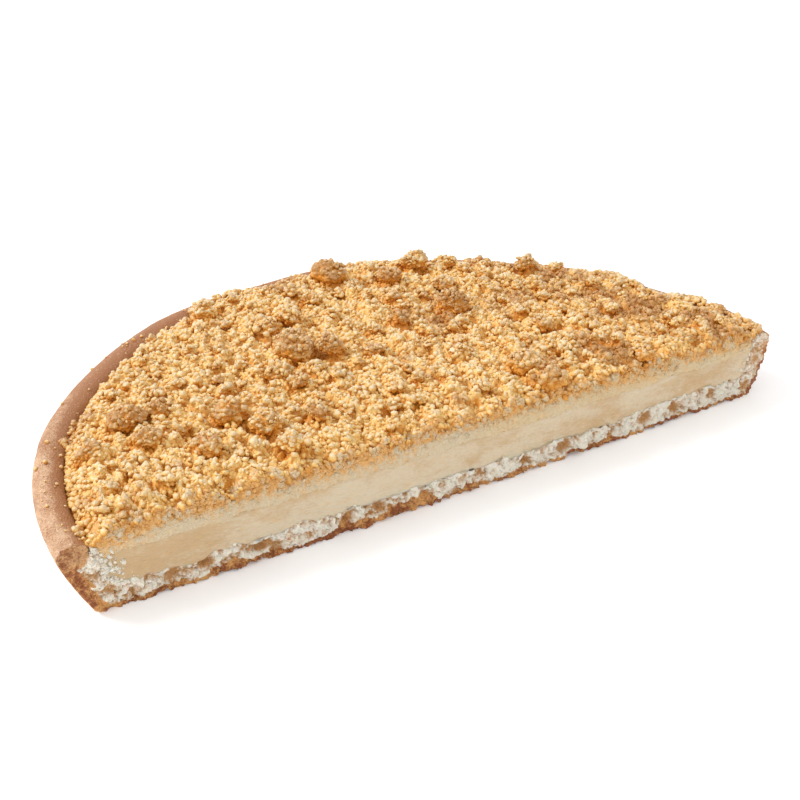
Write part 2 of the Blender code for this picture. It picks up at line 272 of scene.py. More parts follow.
def crumble_height(x, y):
    """The crumble's level: steep at the rim, even in the middle, lower along the cut, and with bumps."""
    inward = CRUMBLE_EDGE_RADIUS - np.hypot(x, y)
    rise = CRUMBLE_MIDDLE_HEIGHT - CRUMBLE_EDGE_HEIGHT
    shoulder = rise * np.sqrt(smooth_step(inward / CRUMBLE_SHOULDER))
    sag = CRUMBLE_CUT_DROP * (1 - smooth_step(y / CRUMBLE_SHOULDER)) * smooth_step(inward / CRUMBLE_SHOULDER)
    bumps = CRUMB_BUMP * (0.6 * ripple(x, y, 13.0, 3) + 0.7 * ripple(x, y, 7.0, 4))
    return CRUMBLE_EDGE_HEIGHT + shoulder - sag + bumps * smooth_step(inward / LUMP_CLEARANCE)


# Meshes from arrays


def grid_faces(rows, columns, start=0):
    """Corner numbers of a grid's squares. Its points are numbered along each row, from start."""
    number = start + np.arange(rows * columns).reshape(rows, columns)
    corners = [number[:-1, :-1], number[:-1, 1:], number[1:, 1:], number[1:, :-1]]
    return np.stack(corners, -1).reshape(-1, 4)


def mesh_of(name, places, faces):
    """A mesh from places in metres and arrays of corner numbers, one array for each number of corners."""
    corners = np.concatenate([group.ravel() for group in faces])
    sizes = np.concatenate([np.full(len(group), group.shape[1]) for group in faces])
    mesh = bpy.data.meshes.new(name)
    mesh.vertices.add(len(places))
    mesh.vertices.foreach_set("co", np.ascontiguousarray(places, np.float32).ravel())
    mesh.loops.add(len(corners))
    mesh.loops.foreach_set("vertex_index", corners.astype(np.int32))
    mesh.polygons.add(len(sizes))
    mesh.polygons.foreach_set("loop_start", (np.cumsum(sizes) - sizes).astype(np.int32))
    mesh.update(calc_edges=True)
    return mesh


def give_values(mesh, values):
    """Adds one number for each vertex, under each name, for the material to read."""
    for name, numbers in values.items():
        layer = mesh.attributes.new(name, "FLOAT", "POINT")
        layer.data.foreach_set("value", np.ascontiguousarray(numbers, np.float32))


def weld(mesh):
    """Joins points that coincide, drops faces that this shrinks to nothing, and turns all faces
    outwards."""
    bm = bmesh.new()
    bm.from_mesh(mesh)
    bmesh.ops.remove_doubles(bm, verts=bm.verts, dist=WELD_WITHIN * MM)
    bmesh.ops.recalc_face_normals(bm, faces=bm.faces)
    bm.to_mesh(mesh)
    bm.free()


def level_sides(mesh):
    """Shades a bed's sides and underside flat, so that its top is shaded as if it went on."""
    smooth = np.ones(len(mesh.polygons), bool)
    upright = np.empty(3 * len(mesh.polygons), np.float32)
    mesh.polygons.foreach_get("normal", upright)
    smooth[upright[2::3] < 0.02] = False
    mesh.polygons.foreach_set("use_smooth", smooth)


def finish_piece(mesh, material):
    """Makes the mesh a smooth-shaded piece of the flan with its material, riding on the one body."""
    mesh.shade_smooth()
    mesh.materials.append(material)
    piece = bpy.data.objects.new(mesh.name, mesh)
    bpy.context.scene.collection.objects.link(piece)
    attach(piece, "root")
    return piece


def evenly_along(points, count):
    """count places at even steps along the broken line through the points."""
    points = np.array(points, float)
    steps = np.hypot(*np.diff(points, axis=0).T)
    way = np.concatenate([[0], np.cumsum(steps)])
    at = np.linspace(0, way[-1], count)
    return np.stack([np.interp(at, way, points[:, 0]), np.interp(at, way, points[:, 1])], 1)


def ball(squares):
    """A ball of radius 1 from a cube: each side is a grid of squares whose tangents are evened out, and
    every point is then put at distance 1. Gives places, corner numbers and each corner's place in a 3 by 2
    sheet."""
    even = np.tan(np.linspace(-np.pi / 4, np.pi / 4, squares + 1))
    u, v = np.meshgrid(even, even)
    one = np.ones_like(u)
    sides = [(one, u, v), (-one, v, u), (v, one, u), (u, -one, v), (u, v, one), (v, u, -one)]
    cube = np.concatenate([np.stack(side, -1).reshape(-1, 3) for side in sides])
    places = cube / np.linalg.norm(cube, axis=1, keepdims=True)
    count = (squares + 1) ** 2
    faces = np.concatenate([grid_faces(squares + 1, squares + 1, side * count) for side in range(6)])
    across = np.linspace(SIDE_MARGIN, 1 - SIDE_MARGIN, squares + 1)
    flat_u, flat_v = np.meshgrid(across, across)
    sheets = [np.stack([(flat_u + side % 3) / 3, (flat_v + side // 3) / 2], -1) for side in range(6)]
    flat = np.concatenate([sheet.reshape(-1, 2) for sheet in sheets])[faces]
    kept, number = np.unique(np.round(places, 6), axis=0, return_inverse=True)
    return kept, number.ravel()[faces], flat


def bead():
    """A ball of radius 1 with few faces: the eight faces of an octahedron, each parted in four, with every
    point put at distance 1. Gives the same three things as ball()."""
    tips = np.array([(1, 0, 0), (0, 1, 0), (0, 0, 1)], float)
    places, faces, flat = [], [], []
    parts = np.array([(0, 3, 5), (3, 1, 4), (5, 4, 2), (3, 4, 5)])
    sheet = np.array([(0, 0), (1, 0), (0.5, 1), (0.5, 0), (0.75, 0.5), (0.25, 0.5)])
    for number, signs in enumerate(np.ndindex(2, 2, 2)):
        mirror = 1 - 2 * np.array(signs)
        a, b, c = tips * mirror
        faces.append((parts if mirror.prod() > 0 else parts[:, ::-1]) + 6 * number)
        places.append([a, b, c, a + b, b + c, c + a])
        square = SIDE_MARGIN + (1 - 2 * SIDE_MARGIN) * sheet + np.array([number % 4, number // 4])
        flat.append(square[faces[-1] - 6 * number] / (4, 2))
    places = np.concatenate(places)
    places /= np.linalg.norm(places, axis=1, keepdims=True)
    kept, number = np.unique(np.round(places, 6), axis=0, return_inverse=True)
    return kept, number.ravel()[np.concatenate(faces)], np.concatenate(flat)


def turns(count, rng):
    """Random turns, one 3 by 3 matrix each, from four random numbers that stand for a unit quaternion."""
    four = rng.normal(size=(4, count))
    w, x, y, z = four / np.linalg.norm(four, axis=0)
    rows = [
        [1 - 2 * (y * y + z * z), 2 * (x * y - z * w), 2 * (x * z + y * w)],
        [2 * (x * y + z * w), 1 - 2 * (x * x + z * z), 2 * (y * z - x * w)],
        [2 * (x * z - y * w), 2 * (y * z + x * w), 1 - 2 * (x * x + y * y)],
    ]
    return np.array(rows).transpose(2, 0, 1)


def copies_of(faces, points, count):
    """Corner numbers of count copies of a shape that has that many points: those of the first, moved on by
    a whole shape for each copy."""
    return (faces[None] + points * np.arange(count)[:, None, None]).reshape(-1, faces.shape[1])


def lay_out(mesh, flat, count):
    """Gives each of the count copies its own square of the bake's sheet, unfolded there as the ball's
    sides."""
    across = math.ceil(math.sqrt(count))
    square = np.stack([np.arange(count) % across, np.arange(count) // across], -1)
    corners = (flat[None] * (1 - 2 * COPY_MARGIN) + COPY_MARGIN + square[:, None, None, :]) / across
    layer = mesh.uv_layers.new(name="OFBake")
    layer.data.foreach_set("uv", np.ascontiguousarray(corners, np.float32).ravel())


# Materials


def node(tree, kind, **settings):
    """A node of the kind, with properties and input values set by name."""
    made = tree.nodes.new(kind)
    for name, value in settings.items():
        if name in made.inputs:
            made.inputs[name].default_value = value
        else:
            setattr(made, name, value)
    return made


def group_tree(name, numbers, outputs):
    """An empty shader group that takes a place, the named numbers and gives the named values."""
    tree = bpy.data.node_groups.new(name, "ShaderNodeTree")
    tree.interface.new_socket("Place", in_out="INPUT", socket_type="NodeSocketVector")
    for number, start in numbers.items():
        socket = tree.interface.new_socket(number, in_out="INPUT", socket_type="NodeSocketFloat")
        socket.default_value = start
    for output in outputs:
        tree.interface.new_socket(output, in_out="OUTPUT", socket_type="NodeSocketFloat")
    return tree, tree.nodes.new("NodeGroupInput"), tree.nodes.new("NodeGroupOutput")


def math_node(tree, operation, first, second):
    """One step of arithmetic on two sockets or numbers."""
    step = node(tree, "ShaderNodeMath", operation=operation)
    for socket, value in zip(step.inputs, (first, second)):
        if isinstance(value, float):
            socket.default_value = value
        else:
            tree.links.new(value, socket)
    return step.outputs[0]


def stretch_range(tree, value, low, high, most=1.0):
    """Goes smoothly from 0 to most as the value goes from low to high, and stays there beyond them."""
    made = node(tree, "ShaderNodeMapRange", interpolation_type="SMOOTHSTEP")
    tree.links.new(value, made.inputs["Value"])
    for socket, number in zip(("From Min", "From Max", "To Min", "To Max"), (low, high, 0.0, most)):
        made.inputs[socket].default_value = number
    return made.outputs["Result"]


def grain_group():
    """Fine grain. Size is a grain's width in metres. Grain is the grain's own light or dark value, Rise the
    height of a rough surface with grains of that size, and Patch a slow change over some thirty grains."""
    tree, given, gives = group_tree("food grain", {"Size": 0.001}, ("Grain", "Rise", "Patch"))
    scale = math_node(tree, "DIVIDE", 1.0, given.outputs["Size"])
    fine = node(tree, "ShaderNodeTexNoise", Detail=4.0, Roughness=0.62)
    cells = node(tree, "ShaderNodeTexVoronoi", feature="F1")
    slow = node(tree, "ShaderNodeTexNoise", Detail=2.0, Roughness=0.5)
    slow_scale = math_node(tree, "MULTIPLY", scale, 0.033)
    for texture, size in ((fine, scale), (cells, scale), (slow, slow_scale)):
        tree.links.new(given.outputs["Place"], texture.inputs["Vector"])
        tree.links.new(size, texture.inputs["Scale"])
    rounded = stretch_range(tree, cells.outputs["Distance"], 0.75, 0.0)
    rise = math_node(tree, "MULTIPLY_ADD", fine.outputs["Fac"], 0.8)
    tree.links.new(rounded, rise.node.inputs[2])
    tree.links.new(stretch_range(tree, fine.outputs["Fac"], 0.3, 0.7), gives.inputs["Grain"])
    tree.links.new(rise, gives.inputs["Rise"])
    tree.links.new(stretch_range(tree, slow.outputs["Fac"], 0.35, 0.65), gives.inputs["Patch"])
    return tree


def pore_group():
    """Small holes. Size is the width of a cell that may hold one, in metres, and Share how much of each is
    hole. Hole is 1 in a hole and 0 outside."""
    tree, given, gives = group_tree("food pores", {"Size": 0.001, "Share": 0.3}, ("Hole",))
    scale = math_node(tree, "DIVIDE", 1.0, given.outputs["Size"])
    wander = node(tree, "ShaderNodeTexNoise", Detail=1.0)
    moved = node(tree, "ShaderNodeVectorMath", operation="SCALE")
    place = node(tree, "ShaderNodeVectorMath", operation="ADD")
    cells = node(tree, "ShaderNodeTexVoronoi", feature="F1")
    tree.links.new(given.outputs["Place"], wander.inputs["Vector"])
    tree.links.new(scale, wander.inputs["Scale"])
    tree.links.new(wander.outputs["Color"], moved.inputs[0])
    tree.links.new(math_node(tree, "MULTIPLY", given.outputs["Size"], 0.8), moved.inputs["Scale"])
    tree.links.new(given.outputs["Place"], place.inputs[0])
    tree.links.new(moved.outputs[0], place.inputs[1])
    tree.links.new(place.outputs[0], cells.inputs["Vector"])
    tree.links.new(scale, cells.inputs["Scale"])
    edge = math_node(tree, "SUBTRACT", given.outputs["Share"], cells.outputs["Distance"])
    tree.links.new(stretch_range(tree, edge, -0.05, 0.12), gives.inputs["Hole"])
    return tree


class Finish:
    """A material under way: its tree, its shader and the place that its patterns read."""

    def __init__(self, name, roughness, let_through):
        self.material = bpy.data.materials.new(name)
        self.material.use_nodes = True
        self.tree = self.material.node_tree
        self.shader = self.tree.nodes["Principled BSDF"]
        self.shader.inputs["Roughness"].default_value = roughness
        self.shader.inputs["Specular IOR Level"].default_value = 0.5
        self.shader.inputs["Subsurface Weight"].default_value = let_through
        self.shader.inputs["Subsurface Radius"].default_value = (1.0, 0.45, 0.2)
        self.shader.inputs["Subsurface Scale"].default_value = 0.002
        self.place = node(self.tree, "ShaderNodeTexCoord").outputs["Object"]

    def draw_out(self, share):
        """Lets the patterns added from here on run longer along X."""
        longer = node(self.tree, "ShaderNodeMapping")
        longer.inputs["Scale"].default_value = (share, 1, 1)
        self.tree.links.new(self.place, longer.inputs["Vector"])
        self.place = longer.outputs["Vector"]

    def effect(self, group, **numbers):
        """A shader group with its own values, read at this material's place. Gives its outputs by name."""
        made = node(self.tree, "ShaderNodeGroup")
        made.node_tree = group
        self.tree.links.new(self.place, made.inputs["Place"])
        for name, value in numbers.items():
            made.inputs[name].default_value = value
        return made.outputs

    def value(self, name):
        """A number that the mesh carries for each vertex."""
        return node(self.tree, "ShaderNodeAttribute", attribute_name=name).outputs["Fac"]

    def weigh(self, *shares):
        """The sum of values, each times its weight."""
        total = None
        for value, weight in shares:
            step = node(self.tree, "ShaderNodeMath", operation="MULTIPLY_ADD")
            self.tree.links.new(value, step.inputs[0])
            step.inputs[1].default_value = weight
            step.inputs[2].default_value = 0.0
            if total is not None:
                self.tree.links.new(total, step.inputs[2])
            total = step.outputs[0]
        return total

    def range(self, value, low, high, most=1.0):
        """Goes smoothly from 0 to most as the value goes from low to high."""
        return stretch_range(self.tree, value, low, high, most)

    def blend(self, share, first, second):
        """A colour that goes from first to second as the share goes from 0 to 1."""
        made = node(self.tree, "ShaderNodeMix", data_type="RGBA")
        for socket, value in zip((made.inputs[0], made.inputs[6], made.inputs[7]), (share, first, second)):
            if isinstance(value, tuple):
                socket.default_value = (*value, 1)
            elif isinstance(value, float):
                socket.default_value = value
            else:
                self.tree.links.new(value, socket)
        return made.outputs[2]

    def bump(self, height, depth):
        """Raises and lowers the shading by the height times the depth in metres. Bumps given later add to
        it."""
        made = node(self.tree, "ShaderNodeBump", Strength=1.0, Distance=depth)
        self.tree.links.new(height, made.inputs["Height"])
        before = self.shader.inputs["Normal"].links
        if before:
            self.tree.links.new(before[0].from_socket, made.inputs["Normal"])
        self.tree.links.new(made.outputs[0], self.shader.inputs["Normal"])

    def base(self, colour):
        """Joins the colour to the shader, and gives the finished material."""
        self.tree.links.new(colour, self.shader.inputs["Base Color"])
        return self.material


GRAIN = grain_group()
PORES = pore_group()

# Colours, as shares of light sent back
# The crumble's painted light is its pale colour on upright tops, its painted shade the orange in its gaps;
# gold lies between
CRUMBLE_PAINTED_LIGHT = (0.725, 0.592, 0.388)
CRUMBLE_GOLD = (0.80, 0.502, 0.155)
CRUMBLE_PAINTED_SHADE = (0.65, 0.255, 0.017)
CRUMBLE_BROWN = (0.45, 0.205, 0.05)
CRUMBLE_SUGAR = (0.93, 0.90, 0.82)
# The cut crumble's gold is partly the loose crumble's own colour and partly painted shade between its grains
CUT_CRUMBLE_PALE = (0.60, 0.495, 0.335)
CUT_CRUMBLE = (0.625, 0.475, 0.275)
CUT_CRUMBLE_GOLD = (0.725, 0.385, 0.115)
CREAM_LIGHT = (0.595, 0.485, 0.335)
# The cream's deep colour is painted shade where its face lies back, mixed with random mottle
CREAM_DEEP = (0.51, 0.34, 0.17)
CREAM_FLECK = (0.66, 0.36, 0.13)
DOUGH_WHITE = (0.83, 0.77, 0.65)
# The dough's shade colour is painted shade in its pores, hollows and walls
DOUGH_SHADE = (0.50, 0.245, 0.075)
# The skin's light and deep colours carry browning, and on the rim painted light at its left end and painted
# shade on its inner flank
SKIN_LIGHT = (0.62, 0.395, 0.235)
SKIN_DEEP = (0.36, 0.15, 0.055)
SKIN_FLOUR = (0.80, 0.62, 0.44)
SKIN_BASE = (0.68, 0.34, 0.105)
SKIN_DARK = (0.27, 0.07, 0.012)


def crumble_material():
    """Baked crumble: golden, with painted light that makes it pale where it stands out and faces up, and
    painted shade that makes it more golden on its sides and orange in its gaps. It is browned in patches, and
    has grains of sugar, more of them where it is browned."""
    finish = Finish("crumble", 0.48, 0.0)
    fine = finish.effect(GRAIN, Size=0.0005)
    coarse = finish.effect(GRAIN, Size=0.001)
    # deep carries painted light and shade: how deep a place lies between the crumbs and how far it turns from
    # straight up
    painted_shade_and_grain = finish.weigh((finish.value("deep"), 1.0), (coarse["Grain"], 0.10), (fine["Grain"], 0.08))
    colour = finish.blend(finish.range(painted_shade_and_grain, 0.0, 0.42), CRUMBLE_PAINTED_LIGHT, CRUMBLE_GOLD)
    browned = finish.weigh((finish.value("toast"), 1.0), (fine["Grain"], 0.2))
    colour = finish.blend(finish.range(browned, 0.2, 0.95, 0.92), colour, CRUMBLE_BROWN)
    colour = finish.blend(finish.range(painted_shade_and_grain, 0.45, 1.2), colour, CRUMBLE_PAINTED_SHADE)
    sugar = finish.effect(PORES, Size=0.0008, Share=0.17)
    sweetness = math_node(finish.tree, "ADD", finish.weigh((finish.value("toast"), 0.75)), 0.15)
    sweet = math_node(finish.tree, "MULTIPLY", sugar["Hole"], sweetness)
    colour = finish.blend(sweet, colour, CRUMBLE_SUGAR)
    finish.bump(coarse["Rise"], 0.00016)
    finish.bump(fine["Rise"], 0.00008)
    return finish.base(colour)


def cut_crumble_material():
    """Crumble that the knife pressed together: pale as the cream below and golden above, with painted shade
    that makes it more golden between its grains."""
    finish = Finish("cut crumble", 0.6, 0.0)
    fine = finish.effect(GRAIN, Size=0.0005)
    coarse = finish.effect(GRAIN, Size=0.0017)
    # gold is the loose crumble's own colour higher up, and painted shade where deep says the face lies back
    gold = finish.weigh((finish.value("loose"), 0.4), (finish.value("deep"), 1.0), (coarse["Grain"], 0.3),
                        (fine["Grain"], 0.5))
    colour = finish.blend(coarse["Patch"], CUT_CRUMBLE_PALE, CUT_CRUMBLE)
    colour = finish.blend(finish.range(gold, 0.6, 1.7), colour, CUT_CRUMBLE_GOLD)
    finish.bump(fine["Rise"], 0.0002)
    return finish.base(colour)


def cream_material():
    """Set cream: smooth and pale, with marks drawn out along the cut, painted shade where its face lies back,
    a few orange flecks and a soft shine."""
    finish = Finish("cream", 0.42, 0.3)
    finish.draw_out(0.4)
    mottle = finish.effect(GRAIN, Size=0.0009)
    streak = finish.effect(GRAIN, Size=0.0004)
    share = finish.weigh((mottle["Patch"], 0.3), (finish.value("deep"), 0.9), (streak["Grain"], 0.3),
                         (mottle["Grain"], 0.24))
    colour = finish.blend(finish.range(share, 0.35, 1.25), CREAM_LIGHT, CREAM_DEEP)
    flecks = finish.effect(PORES, Size=0.0045, Share=0.13)
    colour = finish.blend(finish.weigh((flecks["Hole"], 0.4)), colour, CREAM_FLECK)
    finish.bump(mottle["Rise"], 0.00018)
    return finish.base(colour)


def crust_material():
    """Yeast dough: white and porous inside, with painted shade in its pores and torn hollows, and browned
    skin where the mesh says so, with painted light and shade on the rim. The skin of the wall has specks of
    flour on it, and that of the base is darker."""
    finish = Finish("crust", 0.58, 0.15)
    fine = finish.effect(GRAIN, Size=0.0005)
    coarse = finish.effect(GRAIN, Size=0.0014)
    pores = finish.effect(PORES, Size=0.0018, Share=0.30)
    # shade is painted shade: deep from the mesh, and the pores
    shade = finish.weigh((finish.value("deep"), 1.1), (coarse["Grain"], 0.25), (fine["Grain"], 0.35),
                         (pores["Hole"], 0.25))
    dough = finish.blend(finish.range(shade, 0.45, 1.45), DOUGH_WHITE, DOUGH_SHADE)
    toasted = finish.weigh((finish.value("toast"), 1.0), (coarse["Patch"], 0.25), (coarse["Grain"], 0.2),
                           (fine["Grain"], 0.6))
    skin = finish.blend(finish.range(toasted, 0.29, 1.29), SKIN_LIGHT, SKIN_DEEP)
    flour = finish.effect(PORES, Size=0.0011, Share=0.22)
    skin = finish.blend(finish.weigh((flour["Hole"], 0.38)), skin, SKIN_FLOUR)
    toasted_low = finish.weigh((toasted, 1.0), (coarse["Grain"], 0.55))
    low_skin = finish.blend(finish.range(toasted_low, 0.64, 1.79), SKIN_BASE, SKIN_DARK)
    skin = finish.blend(finish.value("low"), skin, low_skin)
    ragged = finish.weigh((finish.value("brown"), 1.0), (coarse["Grain"], 0.6), (fine["Grain"], 0.25))
    colour = finish.blend(finish.range(ragged, 0.35, 0.75), dough, skin)
    finish.bump(fine["Rise"], 0.00025)
    return finish.base(colour)


# The crust


def crust_profiles(count):
    """The crust's outline at the cut, from its lower corner up to the top of the roll and from there down
    inside to the floor, each as count places. The corner and the fillet are arcs, the wall is a straight
    line with a low parabola added, and the roll is half an ellipse."""
    corner = [
        (BASE_RADIUS - BASE_CORNER * (1 - math.sin(a)), BASE_CORNER * (1 - math.cos(a)))
        for a in np.linspace(0, 0.42 * math.pi, 8)
    ]
    start, height = corner[-1]
    wall = [
        (
            start + (RIM_RADIUS - start) * t + WALL_BULGE * 4 * t * (1 - t),
            height + (ROLL_MIDDLE_HEIGHT - height) * t,
        )
        for t in np.linspace(0, 1, 14)[1:-1]
    ]
    middle = RIM_RADIUS - ROLL_WIDTH / 2
    roll = [
        (middle + ROLL_WIDTH / 2 * math.cos(a), ROLL_MIDDLE_HEIGHT + ROLL_HALF_HEIGHT * math.sin(a))
        for a in np.linspace(0, math.pi, 33)
    ]
    fillet = [
        (FLOOR_RADIUS + 1 - FLOOR_FILLET * (1 - math.cos(a)), FLOOR_HEIGHT + FLOOR_FILLET * (1 - math.sin(a)))
        for a in np.linspace(0, math.pi / 2, 9)
    ]
    outer = evenly_along([*corner, *wall, *roll[:17]], count)
    inner = evenly_along([*roll[16:], *fillet], count)
    return outer, inner


def inner_wall(z):
    """How far from the middle the crust's inner side is at a height."""
    _, inner = crust_profiles(120)
    climbing = inner[::-1]
    foot = int(np.argmax(climbing[:, 1] > FLOOR_HEIGHT + 0.01))
    widest = int(np.argmax(climbing[:, 1] >= ROLL_MIDDLE_HEIGHT))
    return np.interp(z, climbing[foot : widest + 1, 1], climbing[foot : widest + 1, 0])


def roll_top(radius):
    """The height of the rolled rim's upper side at a distance from the middle, on the roll's ellipse."""
    half = ROLL_WIDTH / 2
    across = np.clip((radius - (RIM_RADIUS - half)) / half, -1, 0.98)
    return ROLL_MIDDLE_HEIGHT + ROLL_HALF_HEIGHT * np.sqrt(1 - across**2)


def half_turn(profile, steps):
    """A profile of distances from the middle and heights, carried round half a turn: a grid of places that
    has one row for each place of the profile."""
    angles = np.linspace(0, np.pi, steps + 1)
    radius, height = profile[:, 0][:, None], profile[:, 1][:, None]
    return np.stack([radius * np.cos(angles), radius * np.sin(angles), height + 0 * angles], -1)


def smears(x, z):
    """How far the knife left the cream standing out of the cut, drawn out along it."""
    face = np.stack([x * 0.45, z], 1)
    return 0.22 * clouds(face, 3.0, 91) + 0.18 * clouds(face, 9.0, 95, 2)


def hollow_depth(x, z):
    """How deep a place of the cut lies in a torn hollow: the hollow's depth at its middle, falling smoothly
    to 0 at its edge."""
    deepest = np.zeros_like(x)
    for across, height, width, depth in HOLLOWS:
        off = np.hypot((x - across) / width, (z - height) / 6) * 2
        deepest = np.maximum(deepest, depth * smooth_step(1 - off))
    return deepest


def tear_crust(places):
    """Tears the dough at the cut: clouds, pits and grains move its face in and out, hollows go deeper, and
    its lower edge is chipped. It fades out behind the cut, so that the wall meets the torn face. Gives the
    places and how much painted shade each part of the face gets, from 0 to 1: more the deeper it lies, more
    in the walls and most in the right one, and a little less towards the right."""
    x, y, z = places.T
    face = sway(np.stack([x, z], 1), 2.4, 1.0, 71)
    near = 1 - smooth_step(y / TEAR_REACH)
    pits = pebbles(face, 2.6, 72, 0.2, 0.75) * (1 - 0.6 * smooth_step((x - RIGHT_WALL_FROM) / 4))
    flakes = pebbles(face, 1.3, 77, 0.3, 0.8)
    specks = pebbles(face, 0.85, 79, 0.3, 0.8)
    depth = 0.5 * clouds(face, 4.0, 73) - 0.85 * pits * (cloud(face, 4.5, 74) > -0.1) - hollow_depth(x, z)
    depth += 0.5 * clouds(face, 1.7, 75, 2) + 0.65 * (flakes - 0.5) + 0.6 * (specks - 0.5)
    low = np.clip(1 - z / 3.5, 0, 1)
    along = x[:, None]
    notches = np.maximum(clouds(along, 5.0, 76), 0) * 1.1 + np.maximum(cloud(along, 1.7, 78), 0) * 0.8
    chips = notches * low * near * (np.abs(x) < BASE_RADIUS - 6)
    depth *= 1 - 0.35 * smooth_step((np.abs(x) - WALL_FROM) / 8)
    # Painted shade: more where the face lies deeper and in both walls, more again in the right wall, and a
    # little less towards the right
    shade = 0.22 - 0.6 * depth - 0.08 * smooth_step(x / 60)
    shade += 0.3 * smooth_step((np.abs(x) - WALL_PAINTED_SHADE_FROM) / 4)
    shade += 0.15 * smooth_step((x - WALL_PAINTED_SHADE_FROM) / 4)
    return np.stack([x, y - depth * near, z + chips], axis=1), np.clip(shade, 0, 1)


def roughen_skin(places, outward):
    """Slightly dents the baked skin along its own direction: soft clouds over the roll and wall."""
    soft = 0.22 * clouds(places, 16.0, 81, 2) + 0.07 * cloud(places, 2.6, 83)
    return places + outward * soft[:, None]


def crust_sheet(profile, steps):
    """The crust's wall, roll and inner side: its outline carried round half a turn, with the skin dented
    along the outline's own direction. The dents fade out towards the underside, and both ends stay in the
    cut's plane."""
    turned = half_turn(profile, steps)
    slope = np.gradient(profile, axis=0)
    slope /= np.linalg.norm(slope, axis=1, keepdims=True)
    outward = half_turn(np.stack([slope[:, 1], -slope[:, 0]], 1), steps)
    still = np.clip(turned[..., 2] / 2, 0, 1)[..., None]
    sheet = roughen_skin(turned.reshape(-1, 3), (outward * still).reshape(-1, 3)).reshape(turned.shape)
    sheet[:, (0, -1), 1] = 0
    return sheet


def crust_strip(sheet, profile, along, across, base_steps):
    """The crust's face at the cut: places in even steps from its outside to its inside, all the way from
    the right roll down to the base, along it and up to the left roll. Gives them with how far each is from
    the outside."""
    middle = np.linspace(1, -1, base_steps + 1)[1:-1]
    under = np.stack([middle * profile[0, 0], 0 * middle, 0 * middle], -1)
    floor = np.stack([middle * profile[-1, 0], 0 * middle, 0 * middle + FLOOR_HEIGHT], -1)
    outline_out = np.concatenate([sheet[: along + 1, 0][::-1], under, sheet[: along + 1, -1]])
    outline_in = np.concatenate([sheet[along:, 0], floor, sheet[along:, -1][::-1]])
    share = np.linspace(0, 1, across + 1)[None, :, None]
    strip = outline_out[:, None] * (1 - share) + outline_in[:, None] * share
    thickness = np.linalg.norm(outline_in - outline_out, axis=1)
    return strip, thickness[:, None] * share[..., 0]


def crust_values(places, depth, shade, on_cut):
    """What the crust's material reads of each place. brown is 1 for skin and -1 for dough: at the cut it
    goes by how far the place is from the outside, against a skin of uneven thickness. deep is the dough's
    painted shade, toast how dark the skin is, from browning and on the rim also from painted light and shade,
    and low how much the skin is the base's."""
    x, y, z = places.T
    up_the_roll = smooth_step((z - ROLL_SKIN_FROM) / 4)
    rolled = np.where(x < 0, 4.2, 0.3) * up_the_roll
    wall_skin = 2.0 + 2.5 * (x < 0) + rolled + 1.1 * clouds(z[:, None] + x[:, None], 3.0, 87)
    base_skin = 2.5 + 2.4 * np.maximum(clouds(x[:, None], 10.0, 85), -0.4) + 0.8 * hollow_depth(x, z)
    skin = np.where(np.abs(x) > WALL_FROM, wall_skin, base_skin)
    # On the roll, inner_side darkens the inner flank, partly as browning and partly as painted shade, and far
    # keeps the rim's left end light as painted light and sheen, while the rest is darker, partly as browning
    # of the back
    inner_side = smooth_step((RIM_RADIUS - 4.0 - np.hypot(x, y)) / 4) * (z > ROLL_MIDDLE_HEIGHT)
    mottle = 0.28 * clouds(places, 7.0, 88) + 0.2 * clouds(places, 1.5, 89, 2)
    far = 0.8 * smooth_step((math.radians(155) - np.arctan2(y, x)) / math.radians(30))
    cut_toast = 0.65 + 0.2 * (x < 0) - depth * 0.15 + 2 * mottle
    skin_toast_light_and_shade = 0.2 + 0.8 * inner_side + mottle + far
    return {
        "brown": np.where(on_cut, np.clip((skin - depth) / 0.9, -1, 1), 1),
        "deep": np.where(on_cut, shade, 0),
        "toast": np.clip(np.where(on_cut, cut_toast, skin_toast_light_and_shade), 0, 1),
        "low": np.where(on_cut, 1 - 0.5 * up_the_roll, 0.8 * (1 - smooth_step((z - 2) / 6))),
    }


def make_crust(material):
    """The crust as one closed shell: a half turn of its outline, a strip that fills the outline at the cut,
    and the flat faces of the underside and the floor. Its inner side is dough from some rows below the
    roll's top on."""
    along, across, turn_steps, base_steps, skin_rows = 60, 24, 420, 620, 23
    outer, inner = crust_profiles(along + 1)
    profile = np.concatenate([outer, inner[1:]])
    sheet = crust_sheet(profile, turn_steps)
    strip, skin_depth = crust_strip(sheet, profile, along, across, base_steps)
    rows, columns = sheet.shape[:2]
    strip_start = rows * columns
    number = strip_start + np.arange(strip.shape[0] * strip.shape[1]).reshape(strip.shape[:2])
    sheet_number = np.arange(strip_start).reshape(rows, columns)
    underside = np.concatenate([sheet_number[0], number[along + 1 : along + base_steps, 0][::-1]])
    floor_face = np.concatenate([sheet_number[-1], number[along + 1 : along + base_steps, -1][::-1]])
    faces = [
        grid_faces(rows, columns),
        grid_faces(*strip.shape[:2], strip_start),
        underside[None],
        floor_face[None, ::-1],
    ]
    places = np.concatenate([sheet.reshape(-1, 3), strip.reshape(-1, 3)])
    depth = np.concatenate([np.zeros(strip_start), skin_depth.ravel()])
    torn, shade = tear_crust(places)
    values = crust_values(places, depth, shade, np.arange(len(places)) >= strip_start)
    values["brown"][(along + skin_rows) * columns : strip_start] = -1
    mesh = mesh_of("crust_shell", bend(torn), faces)
    give_values(mesh, values)
    weld(mesh)
    piece = finish_piece(mesh, material)
    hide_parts("crust")


# The cream


